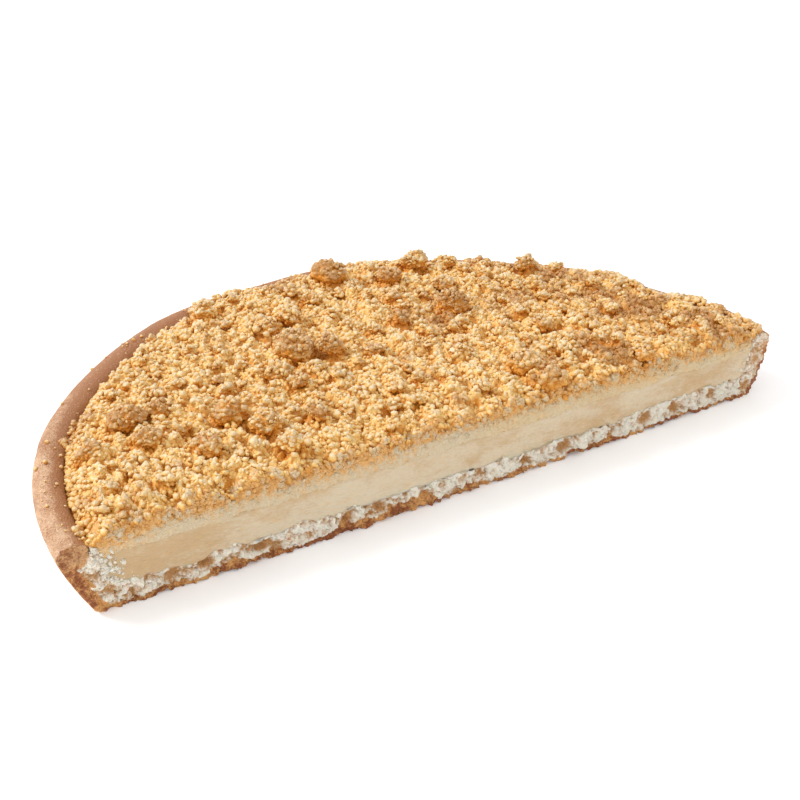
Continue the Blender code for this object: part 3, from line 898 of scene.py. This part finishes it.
def make_cream():
    """The cream slab as one closed shell: a fine grid at the cut, a half turn round its side, and flat
    faces above and below. Its side follows the crust's inner side, and its face at the cut is smeared, and
    drawn in at its top."""
    rows, columns, turn_steps = 24, 560, 160
    share = np.linspace(0, 1, rows + 1)
    low, high = FLOOR_HEIGHT - 0.3, CREAM_TOP + 0.4
    height = low + (high - low) * share
    radius = inner_wall(height) + 0.25
    across = np.linspace(1, -1, columns + 1)
    face_x = radius[:, None] * across
    front = np.stack([face_x, 0 * face_x, height[:, None] + 0 * across], -1)
    side = half_turn(np.stack([radius, height], 1), turn_steps)
    number = np.arange(front[..., 0].size).reshape(front.shape[:2])
    side_number = number.size + np.arange(side[..., 0].size).reshape(side.shape[:2])
    places = np.concatenate([front.reshape(-1, 3), side.reshape(-1, 3)])
    x, y, z = places.T
    out = (smears(x, z) - 0.3 * smooth_step((z - CREAM_TOP + 0.9) / 1.3)) * (1 - smooth_step(y / TEAR_REACH))
    places = np.stack([x, y - out, z], 1)
    bottom = np.concatenate([side_number[0], number[0, 1:-1][::-1]])
    top = np.concatenate([side_number[-1], number[-1, 1:-1][::-1]])
    faces = [
        grid_faces(rows + 1, columns + 1),
        grid_faces(rows + 1, turn_steps + 1, number.size),
        bottom[None],
        top[None, ::-1],
    ]
    mesh = mesh_of("cream_slab", bend(places), faces)
    # deep is painted shade where the smeared face lies back and under its drawn-in top, with random mottle,
    # and darker towards the left
    mottle = 0.35 * clouds(np.stack([x * 0.6, z], 1), 22.0, 98)
    mottle = mottle + 0.2 * clouds(np.stack([x * 0.5, z], 1), 4.0, 93) + 0.62 * smooth_step((-50 - x) / 60)
    give_values(mesh, {"deep": np.clip(0.3 - 1.2 * out + mottle, 0, 1)})
    weld(mesh)
    piece = finish_piece(mesh, cream_material())
    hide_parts("cream_filling")


# The crumble

BED_SUNK = 0.3
BED_FRONT = 1.4
BED_STEPS = 375
ON_LUMPS_SHARE = 0.6

# Stretches of the rim, by their angle round from the right: where it starts to be bare of crumbs, and the
# middles and widths of the stretch where they are thin and of the one where they are heaped
BARE_FROM, BARE_OVER = math.radians(104), math.radians(10)
THIN_AT, THIN_OVER = math.radians(19.5), math.radians(4)
HEAP_AT, HEAP_OVER = math.radians(25.5), math.radians(5.5)

# Layers of round grains in the bed: how strong each is, the width and the reach of its sway, the width of its
# grains, and their least and greatest radius as shares of that
BED_LAYERS = (
    (2.2, 7.0, 2.0, 7.6, 0.3, 0.78),
    (1.3, 3.4, 1.2, 4.0, 0.3, 0.78),
    (1.35, 1.8, 0.6, 2.0, 0.32, 0.8),
    (0.6, 1.0, 0.3, 1.1, 0.32, 0.8),
)
FIRST_BED_SEED = 201

# Places that stand out in the topping: hollows, each across, behind the cut, width and depth, and pale
# flakes, each across, behind the cut and width
PITS = ((62, 66, 4.0, 2.2), (63, 56, 3.5, 2.0), (100, 21, 5.0, 1.8), (107, 14, 4.0, 1.4), (-38, 24, 3.5, 1.2))
FLAKES = (
    (35, 59, 5.6), (36, 2.6, 5.2), (-8, 30, 4.2), (82, 24, 4.4), (-70, 62, 4.4),
    (18, 36, 4.0), (104, 20, 4.6), (-54, 14, 4.2), (-22, 42, 4.0), (64, 84, 4.4),
)

# The maps of the topping's level: the width of their cells, how far they reach to the sides, behind and in
# front, and how widely each is evened out
MAP_CELL = 0.55
MAP_REACH = RIM_RADIUS + 10
MAP_FRONT = 5.0
MAP_SPARE_ROWS = 12
MAP_BLURS = (0.9, 2.6)

# How much painted shade turns the topping golden: at the level round a place, for each millimetre below that
# and below the wider level, and as its surface turns away from straight up
GOLD_AT_LEVEL = 0.22
GOLD_PER_DEPTH = 0.48
GOLD_PER_WIDE_DEPTH = 0.05
HIGHEST_COUNTED = 0.4
GOLD_WHEN_TURNED = 0.64
UPRIGHT = 0.75
MOST_TURNED = 0.85


def bare_share(angle):
    """Where the rim stays bare of crumbs: 0 on the right and the far side, 1 on the left."""
    return smooth_step((angle - BARE_FROM) / BARE_OVER)


def bell(angle, middle, over):
    """A stretch of the rim: a bell curve of the angle, 1 in the stretch's middle."""
    return np.exp(-(((angle - middle) / over) ** 2))


def bed_relief(x, y):
    """Clusters and grains of the crumble's bed, about 0 on average: four layers of round grains, each on
    places that sway, so that no two are alike."""
    flat = np.stack([x, y], 1)
    relief = np.zeros_like(x)
    for number, (strength, sway_size, sway_reach, size, least, most) in enumerate(BED_LAYERS):
        seed = FIRST_BED_SEED + 2 * number
        grains = pebbles(sway(flat, sway_size, sway_reach, seed), size, seed + 1, least, most)
        relief += strength * (grains - 0.5)
    return relief


def bed_height(x, y):
    """The height of the crumble's bed, under its loose crumbs. It lies lower beside the bare part of the
    rim, and higher where crumbs are heaped over the rim."""
    inward = CRUMBLE_EDGE_RADIUS - np.hypot(x, y)
    angle = np.arctan2(y, x)
    calm = 0.35 + 0.65 * smooth_step(inward / 8)
    lower = 1.8 * bare_share(angle) * (1 - smooth_step(inward / 9))
    for across, behind, width, depth in PITS:
        lower += depth * np.exp(-(((x - across) ** 2 + (y - behind) ** 2) / (width / 2) ** 2))
    lower -= 2.0 * bell(angle, HEAP_AT, HEAP_OVER) * np.exp(-((inward / 9) ** 2))
    return crumble_height(x, y) - BED_SUNK - lower + bed_relief(x, y) * calm


def evened_out(heights, known, blur):
    """Each cell's height averaged with those round it by a bell curve, as a product of Fourier transforms.
    Cells with no height of their own count for nothing."""
    rows, columns = heights.shape
    down, across = np.fft.fftfreq(rows)[:, None], np.fft.rfftfreq(columns)[None]
    spread = np.exp(-2 * (np.pi * blur / MAP_CELL) ** 2 * (down**2 + across**2))
    parts = (heights * known, known * 1.0)
    total, share = (np.fft.irfft2(np.fft.rfft2(part) * spread, heights.shape) for part in parts)
    return total / np.maximum(share, 1e-3)


def map_cells(places):
    """The row and column of each place on the maps, as numbers with fractions."""
    return (places[:, 1] + MAP_FRONT) / MAP_CELL, (places[:, 0] + MAP_REACH) / MAP_CELL


def level_maps(places):
    """Two maps of the topping's upper side: its highest point in each cell, evened out over about one
    millimetre and over about three."""
    rows, columns = int(MAP_REACH / MAP_CELL) + MAP_SPARE_ROWS, int(2 * MAP_REACH / MAP_CELL) + 2
    row, column = (cells.astype(int) for cells in map_cells(places))
    heights = np.zeros((rows, columns))
    np.maximum.at(heights, (row, column), places[:, 2])
    known = heights > 0
    return [evened_out(heights, known, blur) for blur in MAP_BLURS]


def cavity(places, maps):
    """How much painted shade a place gets for lying deep between the crumbs: a fixed share at the level that
    is evened out round it, more for each millimetre below that and below the wider level, and less above.
    Between the middles of cells, each map's level is blended from the nearest four."""
    row, column = (cells - 0.5 for cells in map_cells(places))
    low_row, low_column = np.floor(row).astype(int), np.floor(column).astype(int)
    down, across = row - low_row, column - low_column
    near, wide = (
        level[low_row, low_column] * (1 - down) * (1 - across)
        + level[low_row + 1, low_column] * down * (1 - across)
        + level[low_row, low_column + 1] * (1 - down) * across
        + level[low_row + 1, low_column + 1] * down * across
        for level in maps
    )
    below = np.maximum(near - places[:, 2], -HIGHEST_COUNTED)
    return GOLD_AT_LEVEL + GOLD_PER_DEPTH * below + GOLD_PER_WIDE_DEPTH * (wide - places[:, 2])


def browned_patches(x, y):
    """Where the oven browned the crumble, from 0 to 1: the stronger parts of wide clouds and of narrower
    ones. On top of that it gets darker towards the right."""
    flat = np.stack([x, y], 1)
    right = 0.38 * smooth_step((x - 40) / 55)
    return np.clip(0.5 * clouds(flat, 30.0, 211) + 0.55 * clouds(flat, 9.0, 215, 2) - 0.05 + right, 0, 1)


def half_disc(steps):
    """Even places over a half disc of radius 1. A strip of squares twice as wide as high is bent so that
    its three outer sides become the arc: the distance is the greater of the two coordinates, and the angle
    goes by the other over it."""
    a, b = np.meshgrid(np.linspace(-1, 1, 2 * steps + 1), np.linspace(0, 1, steps + 1))
    reach = np.maximum(np.abs(a), b)
    safe = np.maximum(reach, 1e-9)
    right = np.pi / 4 * b / safe
    above = np.pi / 2 - np.pi / 4 * a / safe
    angle = np.where(b >= np.abs(a), above, np.where(a > 0, right, np.pi - right))
    return reach * np.cos(angle), reach * np.sin(angle)


def bed_part(name, first, last):
    """A third of the crumble's bed as one closed shell: its top is a height over a share of a half disc,
    from the first to the last column, and it has low sides and a flat underside."""
    flat_x, flat_y = (part[:, first : last + 1] for part in half_disc(BED_STEPS))
    x = (flat_x * CRUMBLE_EDGE_RADIUS).ravel()
    y = (BED_FRONT + flat_y * (CRUMBLE_EDGE_RADIUS - BED_FRONT)).ravel()
    top = np.stack([x, y, bed_height(x, y)], 1)
    number = np.arange(len(x)).reshape(flat_x.shape)
    rim = np.concatenate([number[0, :-1], number[:-1, -1], number[-1, :0:-1], number[:0:-1, 0]])
    lower = top[rim].copy()
    lower[:, 2] = CREAM_TOP + 0.2
    under = len(x) + np.arange(len(rim))
    sides = np.stack([rim, np.roll(rim, -1), np.roll(under, -1), under], -1)
    values = {"toast": np.concatenate([0.8 * browned_patches(x, y), np.zeros(len(rim))])}
    faces = [grid_faces(*flat_x.shape), sides, under[None]]
    return name, np.concatenate([top, lower]), faces, values, None


def bed_parts():
    """The bed in three shells side by side, which meet along two planes."""
    columns = 2 * BED_STEPS // 3
    names = ("crumble_bed_left", "crumble_bed_middle", "crumble_bed_right")
    return [bed_part(name, number * columns, (number + 1) * columns) for number, name in enumerate(names)]


def cut_band_rings(bottom):
    """The cut band before it is roughened: at each step along the cut an outline that goes up the face, bends
    back in a quarter ellipse and comes down behind. Gives the grid of places, and the direction in which each
    place of an outline is roughened, which is none behind."""
    face_rows, edge_rows, columns, back = 22, 12, 660, 5.5
    share = np.linspace(-1, 1, columns + 1)
    x = share * (CRUMBLE_EDGE_RADIUS - 0.5)
    top = np.clip(bed_height(x, 0 * x + 3.0) + 0.3, CREAM_TOP + 4.5, 40)
    edge = np.clip(2.9 + 1.3 * clouds(x[:, None], 6.0, 219), 1.2, 4.4)
    edge = np.minimum(edge, top - CREAM_TOP - 1.5)
    up = np.linspace(0, 1, face_rows + 1)
    turn = np.linspace(0, np.pi / 2, edge_rows + 1)[1:]
    face_z = bottom + (top - edge - bottom)[:, None] * up
    edge_z = (top - edge)[:, None] + edge[:, None] * np.sin(turn)
    edge_y = 0.75 * edge[:, None] * (1 - np.cos(turn))
    level = np.zeros((len(x), 1))
    ring_y = np.concatenate([0 * face_z, edge_y, level + back, level + back], 1)
    ring_z = np.concatenate([face_z, edge_z, top[:, None] - 0.5, level + bottom], 1)
    ring_x = share[:, None] * np.minimum(inner_wall(ring_z) + 0.2, CRUMBLE_EDGE_RADIUS)
    lean = np.concatenate([0 * up, turn, [np.pi / 2, 0]])
    outward = np.stack([0 * lean, -np.cos(lean), np.sin(lean)], -1)
    outward[-2:] = 0
    return np.stack([ring_x, ring_y, ring_z], -1), outward


def make_cut_band():
    """The crumble that shows at the cut: the rings joined along it, with a closed end on each side. Its round
    grains stand out more the higher they lie, and its foot slips behind the cream, so that the two meet in an
    uneven line. Loose grains are pressed into it in the end."""
    bottom = CREAM_TOP - 1.6
    rings, outward = cut_band_rings(bottom)
    rows, around = rings.shape[:2]
    places = rings.reshape(-1, 3)
    outward = np.tile(outward, (rows, 1))
    x, _, z = places.T
    loose = smooth_step((z - CREAM_TOP - 0.8 * np.exp(-((x / 50) ** 2)) - 0.4) / 6.3)
    swayed = sway(places, 2.2, 0.7, 221)
    lumps = pebbles(swayed, 3.2, 241, 0.3, 0.75)
    grains = pebbles(swayed, 1.8, 222, 0.3, 0.8)
    fine = pebbles(swayed, 1.0, 225, 0.3, 0.8)
    rough = smears(x, z) - 0.3 + 0.4 * smooth_step((z - bottom) / 2.0)
    rough += 0.18 * clouds(places, 5.0, 231, 2) + 1.2 * loose**2 * (lumps - 0.6)
    rough += (0.25 + 0.75 * loose) * (grains - 0.55) + (0.3 + 0.3 * loose) * (fine - 0.5)
    moved = places + outward * rough[:, None]
    number = np.arange(rows * around).reshape(rows, around)
    closed = np.concatenate([number, number[:, :1]], 1)
    faces = np.stack([closed[:-1, :-1], closed[1:, :-1], closed[1:, 1:], closed[:-1, 1:]], -1).reshape(-1, 4)
    mesh = mesh_of("crumble_cut_band", bend(moved), [faces, number[0][None], number[-1][None, ::-1]])
    # deep is painted shade, more where the roughened face lies back
    deep = np.clip(0.35 - rough, 0, 1)
    give_values(mesh, {"loose": loose, "deep": deep})
    weld(mesh)
    material = cut_crumble_material()
    finish_piece(mesh, material)
    make_loose_piece(pressed_crumb_part(moved, outward, loose, deep), material)


def scattered(spacing, shake, seed, front, edge):
    """Places over the topping, from the front to the edge's radius: the points of a triangular grid, each
    shaken by a share of the spacing."""
    rng = np.random.default_rng(seed)
    y, x = np.mgrid[0 : edge : spacing * math.sqrt(0.75), -edge : edge : spacing]
    x = x + spacing / 2 * (np.arange(len(x))[:, None] % 2)
    x = x.ravel() + rng.uniform(-shake, shake, x.size) * spacing
    y = y.ravel() + rng.uniform(-shake, shake, y.size) * spacing
    kept = (np.hypot(x, y) < edge) & (y > front)
    return x[kept], y[kept]


def mostly_small(rng, count, least, more, power):
    """Widths by chance: a random number to the power, times more, plus the least. The higher the power, the
    more of the widths are near the least."""
    return least + more * rng.uniform(0, 1, count) ** power


def crumb_part(name, shape, middles, widths, seed, uneven, values):
    """Many crumbs in one piece. Each is the ball, made uneven by a chance share at each point, stretched by
    a chance share along each axis, turned at random and put at its middle with its width. Values are one
    number a crumb."""
    rng = np.random.default_rng(seed)
    ball_places, ball_faces, flat = shape
    count, points = len(middles), len(ball_places)
    spread = 1 + uneven * rng.uniform(-1, 1, (count, points, 1))
    stretch = rng.uniform(0.7, 1.3, (count, 1, 3))
    shaped = ball_places[None] * spread * stretch * (widths[:, None, None] / 2)
    turned = np.einsum("cij,cpj->cpi", turns(count, rng), shaped)
    places = (turned + middles[:, None]).reshape(-1, 3)
    carried = {key: np.repeat(numbers, points) for key, numbers in values.items()}
    return name, places, [copies_of(ball_faces, points, count)], carried, (flat, count)


def make_loose_piece(part, material):
    """Makes a part that has its own sheet for the bake into a piece."""
    name, places, faces, values, sheet = part
    mesh = mesh_of(name, bend(places), faces)
    give_values(mesh, values)
    lay_out(mesh, *sheet)
    finish_piece(mesh, material)


def pressed_crumb_part(places, outward, loose, deep):
    """Grains of the crumble that stand a little out of the cut: small uneven balls sunk in the band at
    places of it that are chosen by chance, more of them the higher they lie."""
    rng = np.random.default_rng(381)
    count = 2300
    share = loose**1.2 * (np.abs(outward).sum(1) > 0)
    chosen = rng.choice(len(places), count, replace=False, p=share / share.sum())
    width = mostly_small(rng, count, 0.6, 1.2, 2)
    middles = places[chosen] - 0.2 * width[:, None] * outward[chosen]
    # Each grain takes the band's painted shade where it sits, made lighter by a chance share
    paler = rng.uniform(0.0, 0.3, count)
    values = {"loose": loose[chosen], "deep": np.clip(deep[chosen] - paler, 0, 1)}
    return crumb_part("pressed_crumbs", bead(), middles, width, 382, 0.28, values)


def crumb_parts():
    """The loose crumbs: a layer that follows the bed's clusters, each sunk in it by a chance share of its
    width. Over a lump, a share of them stick to its top. They are dealt out over three pieces of about the
    same size."""
    rng = np.random.default_rng(301)
    sheets = 3
    x, y = scattered(1.62, 0.48, 302, 0.5, CRUMBS_RADIUS)
    clear = np.hypot(x, y) < CRUMBS_RADIUS - 3.5 * bare_share(np.arctan2(y, x))
    x, y = x[clear], y[clear]
    width = mostly_small(rng, x.size, 1.1, 1.5, 1.8)
    level, toast = bed_height(x, y), browned_patches(x, y)
    top, top_toast = lump_tops(x, y)
    stuck = (top > level) & (rng.uniform(0, 1, x.size) < ON_LUMPS_SHARE)
    level, toast = np.where(stuck, top, level), np.where(stuck, top_toast, toast)
    middles = np.stack([x, y, level + width * rng.uniform(-0.34, 0.16, x.size)], 1)
    values = {"toast": np.clip(toast + rng.uniform(-0.15, 0.15, x.size), 0, 1)}
    shape, parts = bead(), []
    for sheet in range(sheets):
        part = np.arange(sheet, x.size, sheets)
        chosen = {key: numbers[part] for key, numbers in values.items()}
        name = f"crumbs_{sheet + 1}"
        parts.append(crumb_part(name, shape, middles[part], width[part], 310 + sheet, 0.4, chosen))
    return parts


def edge_crumb_part():
    """Crumbs that lie over the inner half of the rim, in heaps: many on the far side and on the right, and
    few on the left, where the rim stays bare. Each lies a chance share of the way from a chance start
    inside the topping's edge to the heap's end, and rests on the roll's ellipse or on the bed, or as much
    higher as the crumbs are piled."""
    rng = np.random.default_rng(351)
    count, heaped = 5200, 1100
    angle = np.concatenate([rng.uniform(0, np.pi, count), rng.normal(HEAP_AT, HEAP_OVER, heaped)])
    count += heaped
    heaps = 0.5 + 0.5 * clouds(angle[:, None] * RIM_RADIUS, 7.0, 352)
    bare = bare_share(angle)
    thin = bell(angle, THIN_AT, THIN_OVER)
    corner = 2.6 * (1 - smooth_step(angle / math.radians(22)))
    reach = (2.0 + corner + 6.5 * np.clip(heaps, 0, 1) * (1 - 0.5 * thin)) * (1 - bare)
    reach += 4.0 * np.clip(heaps - 0.4, 0, 1) * bare
    off = rng.uniform(0, 1, count) ** 1.1
    start = 1.5 + 5.5 * rng.uniform(0, 1, count) ** 1.5
    radius = CRUMBLE_EDGE_RADIUS - start + (start + np.minimum(reach, 9.2) - 0.7 * bare) * off
    left_out = 0.45 * bare + 0.55 * thin * (off > 0.3)
    kept = (radius * np.sin(angle) > 0.8) & (rng.uniform(0, 1, count) > left_out)
    angle, radius, off, heaps, bare = (part[kept] for part in (angle, radius, off, heaps, bare))
    width = mostly_small(rng, len(angle), 1.2, 1.3, 2)
    x, y = radius * np.cos(angle), radius * np.sin(angle)
    piled = (1 - off) * (0.5 + 2.6 * np.clip(heaps, 0, 1) * (1 - bare)) * rng.uniform(0.3, 1, len(angle))
    piled += 1.6 * bell(angle, HEAP_AT, HEAP_OVER) * np.sqrt(1 - off) * rng.uniform(0, 1, len(angle))
    piled *= smooth_step(off / 0.25)
    ground = np.maximum(roll_top(radius), np.where(radius < CRUMBS_RADIUS, bed_height(x, y), 0))
    middles = np.stack([x, y, ground + 0.3 * width + piled], 1)
    toast = np.clip(0.14 + 0.5 * browned_patches(x, y) + rng.uniform(-0.2, 0.3, len(x)), 0, 1)
    return crumb_part("edge_crumbs", bead(), middles, width, 353, 0.2, {"toast": toast})


def lump_places():
    """All lumps, as the solids have them: those that can be told apart, then small ones spread by chance but
    clear of the others."""
    rng = np.random.default_rng(77)
    taken = [tuple(map(float, lump)) for lump in SHOWN_LUMPS]
    reach = CRUMBLE_EDGE_RADIUS - LUMP_CLEARANCE
    while len(taken) < len(SHOWN_LUMPS) + SMALL_LUMPS:
        x, y = rng.uniform(-reach, reach), rng.uniform(LUMP_CLEARANCE, reach)
        width = rng.uniform(*SMALL_LUMP_WIDTHS)
        clear = all(math.hypot(x - a, y - b) > 0.6 * (width + w) + LUMP_CLEARANCE / 2 for a, b, w, _ in taken)
        if math.hypot(x, y) < reach and clear:
            taken.append((x, y, width, 0.4))
    return np.array(taken)


def lump_bodies():
    """The lumps with how much each is stretched across and how high its middle is, as the solids have them.
    The stretch is the third random number of each lump's own seed."""
    lumps = lump_places()
    seeds = FIRST_LUMP_SEED + np.arange(len(lumps))
    stretch = np.array([np.random.default_rng(seed).uniform(size=3)[2] * 0.35 + 0.85 for seed in seeds])
    level = crumble_height(lumps[:, 0], lumps[:, 1]) + LUMP_SUNK_SHARE * lumps[:, 2]
    return lumps, stretch, level


def lump_tops(x, y):
    """The height of the lump over each place, on the upper half of its ellipsoid, and how browned it is.
    Where there is no lump, the height is 0."""
    lumps, stretch, level = lump_bodies()
    across, behind, width, browned = lumps.T
    off = ((x[:, None] - across) / stretch) ** 2 + ((y[:, None] - behind) * stretch) ** 2
    off = off / (width / 2) ** 2
    height = level + LUMP_HEIGHT_SHARE * width / 2 * np.sqrt(np.maximum(1 - off, 0))
    height = np.where(off < 0.9, height, 0)
    highest = height.argmax(1)
    return height.max(1), 0.6 * browned[highest]


def lump_parts():
    """The lumps: flattened uneven balls sunk in the bed, covered with grains of their own. A point's
    distance from the middle is the flattened ball's, made uneven by a cloud, with three layers of round
    grains added that are lower on the smallest lumps. The upper side is browned more than the lower one."""
    lumps, stretch, level = lump_bodies()
    width, number = lumps[:, 2], np.arange(len(lumps))
    large = width >= LARGE_LUMP_WIDTH
    sorts = (
        ("lumps_1", large & (number % 2 == 0), 24),
        ("lumps_2", large & (number % 2 == 1), 24),
        ("small_lumps", ~large, 10),
    )
    parts = []
    for name, chosen, squares in sorts:
        ball_places, ball_faces, flat = ball(squares)
        count, points = int(chosen.sum()), len(ball_places)
        size = width[chosen][:, None, None] / 2
        side = stretch[chosen][:, None]
        axes = np.stack([side, 1 / side, 0 * side + LUMP_HEIGHT_SHARE], -1)
        body = ball_places[None] * size * axes
        own = (1 + np.flatnonzero(chosen))[:, None, None] * np.array([31.0, 47.0, 59.0])
        around = (body + own).reshape(-1, 3)
        swelling = cloud(around / size.repeat(points, 1).reshape(-1, 1), 0.8, 331).reshape(count, points, 1)
        knobs = pebbles(sway(around, 3.0, 1.0, 338), 3.6, 339, 0.35, 0.8)
        grains = pebbles(sway(around, 2.0, 0.6, 332), 1.7, 333, 0.35, 0.8)
        fine = pebbles(around, 0.9, 335, 0.35, 0.8)
        rise = (0.9 * (knobs - 0.55) + 1.15 * (grains - 0.5) + 0.5 * (fine - 0.5)).reshape(count, points, 1)
        middles = np.stack([lumps[chosen, 0], lumps[chosen, 1], level[chosen]], 1)
        grown = body * (1 + 0.18 * swelling) + ball_places[None] * rise * np.minimum(size / 2.6, 1)
        places = (grown + middles[:, None]).reshape(-1, 3)
        browned = 0.03 + lumps[chosen, 3][:, None] * (0.65 + 0.3 * ball_places[None, :, 2])
        browned = browned + 0.3 * clouds(around, 3.0, 336).reshape(count, points)
        # deep is painted shade: more between the lump's grains, less on those that rise
        values = {"toast": np.clip(browned, 0, 1).ravel(), "deep": (-0.3 * rise[..., 0]).ravel()}
        parts.append((name, places, [copies_of(ball_faces, points, count)], values, (flat, count)))
    return parts


def rim_crumb_part():
    """The few tiny crumbs that fell on the rim: most near the topping, and all resting on the roll."""
    rng = np.random.default_rng(341)
    count = 110
    angle = np.pi * rng.uniform(0.02, 0.995, count)
    radius = CRUMBLE_EDGE_RADIUS + mostly_small(rng, count, 0.6, 8.0, 1.6)
    width = mostly_small(rng, count, 0.5, 1.2, 3)
    middles = np.stack([radius * np.cos(angle), radius * np.sin(angle), roll_top(radius) + 0.25 * width], 1)
    values = {"toast": rng.uniform(0, 0.3, count)}
    return crumb_part("rim_crumbs", ball(3), middles, width, 342, 0.15, values)


def flake_part():
    """The pale flakes: balls pressed to less than half their height, uneven with clouds and round grains,
    each turned at random and stuck in the bed."""
    rng = np.random.default_rng(371)
    ball_places, ball_faces, flat = ball(14)
    flakes = np.array(FLAKES, float)
    count, points = len(flakes), len(ball_places)
    width = flakes[:, 2][:, None, None]
    around = (ball_places[None] * width / 2 + 41.0 * np.arange(1, count + 1)[:, None, None]).reshape(-1, 3)
    uneven = 1 + 0.3 * clouds(around, 2.6, 372, 2) + 0.3 * (pebbles(around, 1.1, 374, 0.35, 0.8) - 0.5)
    shaped = ball_places[None] * uneven.reshape(count, points, 1) * width / 2 * np.array([1.0, 0.8, 0.42])
    turned = np.einsum("cij,cpj->cpi", turns(count, rng), shaped)
    height = bed_height(flakes[:, 0], flakes[:, 1]) + 0.25 * flakes[:, 2]
    middles = np.stack([flakes[:, 0], flakes[:, 1], height], 1)
    places = (turned + middles[:, None]).reshape(-1, 3)
    values = {"toast": np.zeros(len(places)), "deep": np.full(len(places), -0.25)}
    return "pale_flakes", places, [copies_of(ball_faces, points, count)], values, (flat, count)


def dough_crumb_part():
    """White dough that the knife dragged over the cream: small uneven balls pressed into its face in the
    seam beside the walls, more of them on the left."""
    rng = np.random.default_rng(361)
    left, right = 180, 24
    z = rng.uniform(FLOOR_HEIGHT, ROLL_MIDDLE_HEIGHT + 1, left + right)
    from_wall = 0.6 - 1.6 * rng.uniform(0, 1, left + right) - 7 * rng.uniform(0, 1, left + right) ** 5
    x = np.repeat([-1, 1], (left, right)) * (inner_wall(z) + from_wall)
    width = mostly_small(rng, len(x), 0.4, 1.7, 3)
    middles = np.stack([x, -smears(x, z) + 0.12 * width, z], 1)
    values = {"brown": -np.ones(len(x)), "deep": rng.uniform(0.1, 0.5, len(x)), "toast": 0 * x, "low": 0 * x}
    return crumb_part("dough_crumbs", bead(), middles, width, 362, 0.25, values)


def make_topping():
    """All of the crumble but its cut face. The parts are shaped first, so that each place can get painted
    shade by how deep it lies between all of them. It gets painted light and shade too by how far the surface
    there is turned away from straight up, and what the part itself adds."""
    material = crumble_material()
    loose = [*crumb_parts(), *lump_parts(), flake_part(), edge_crumb_part(), rim_crumb_part()]
    beds = bed_parts()
    maps = level_maps(np.concatenate([part[1] for part in (*beds, *loose)]))
    for name, places, faces, values, sheet in (*beds, *loose):
        mesh = mesh_of(name, bend(places), faces)
        if sheet:
            lay_out(mesh, *sheet)
        else:
            weld(mesh)
        upright = np.empty(3 * len(places), np.float32)
        mesh.vertex_normals.foreach_get("vector", upright)
        # Painted light and shade: the more a surface turns away from straight up, the more golden and orange
        # it gets; upright tops stay pale
        turned_away = np.minimum(UPRIGHT - upright[2::3], MOST_TURNED)
        deep = cavity(places, maps) + GOLD_WHEN_TURNED * turned_away + values.get("deep", 0)
        give_values(mesh, {**values, "deep": np.clip(deep, 0, 1)})
        piece = finish_piece(mesh, material)
        if not sheet:
            level_sides(mesh)
            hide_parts("crumble_topping")


# Studio


def make_floor():
    """A plain pale floor, wide enough to fill the view."""
    corners = FLOOR_REACH * np.array([(-1, -1, 0), (1, -1, 0), (1, 1, 0), (-1, 1, 0)], float)
    mesh = mesh_of("floor", corners, [np.array([[0, 1, 2, 3]])])
    material = bpy.data.materials.new("floor")
    material.use_nodes = True
    shader = material.node_tree.nodes["Principled BSDF"]
    shader.inputs["Base Color"].default_value = (FLOOR_WHITE, FLOOR_WHITE, FLOOR_WHITE, 1)
    shader.inputs["Roughness"].default_value = FLOOR_ROUGHNESS
    shader.inputs["Emission Color"].default_value = (1, 1, 1, 1)
    shader.inputs["Emission Strength"].default_value = FLOOR_GLOW
    mesh.materials.append(material)
    floor = bpy.data.objects.new("floor", mesh)
    bpy.context.scene.collection.objects.link(floor)


def make_light():
    """Soft studio light: a bright white room, and one large lamp to the left and behind for the shape."""
    world = bpy.data.worlds.new("studio")
    world.use_nodes = True
    background = world.node_tree.nodes["Background"]
    background.inputs["Color"].default_value = (1, 1, 1, 1)
    background.inputs["Strength"].default_value = ROOM_LIGHT
    scene = bpy.context.scene
    scene.world = world
    scene.view_settings.view_transform = "Standard"
    scene.view_settings.look = "None"
    data = bpy.data.lights.new("key", "AREA")
    data.size = LAMP_SIZE
    data.energy = LAMP_POWER
    lamp = bpy.data.objects.new("key", data)
    lamp.location = LAMP_PLACE
    lamp.rotation_euler = (Vector(LAMP_TARGET) - Vector(LAMP_PLACE)).to_track_quat("-Z", "Y").to_euler()
    scene.collection.objects.link(lamp)


def make_camera():
    """The camera, where the photograph was taken from. Its axes come from its turn, tilt and roll."""
    sin_turn, cos_turn = math.sin(LOOK_TURN), math.cos(LOOK_TURN)
    ahead = Vector((sin_turn * math.cos(LOOK_DOWN), cos_turn * math.cos(LOOK_DOWN), -math.sin(LOOK_DOWN)))
    level_right = ahead.cross(Vector((0, 0, 1))).normalized()
    level_up = level_right.cross(ahead)
    right = level_right * math.cos(LOOK_ROLL) + level_up * math.sin(LOOK_ROLL)
    up = level_up * math.cos(LOOK_ROLL) - level_right * math.sin(LOOK_ROLL)
    data = bpy.data.cameras.new("camera")
    data.lens = LENS
    data.sensor_width = FILM_WIDTH
    camera = bpy.data.objects.new("camera", data)
    place = (Vector(EYE) + Vector(FRAME_SHIFT)) * MM
    camera.matrix_world = Matrix.Translation(place) @ Matrix((right, up, -ahead)).transposed().to_4x4()
    bpy.context.scene.collection.objects.link(camera)
    bpy.context.scene.camera = camera


make_camera()
make_light()
make_floor()
dough_and_skin = crust_material()
make_crust(dough_and_skin)
make_cream()
make_loose_piece(dough_crumb_part(), dough_and_skin)
make_topping()
make_cut_band()
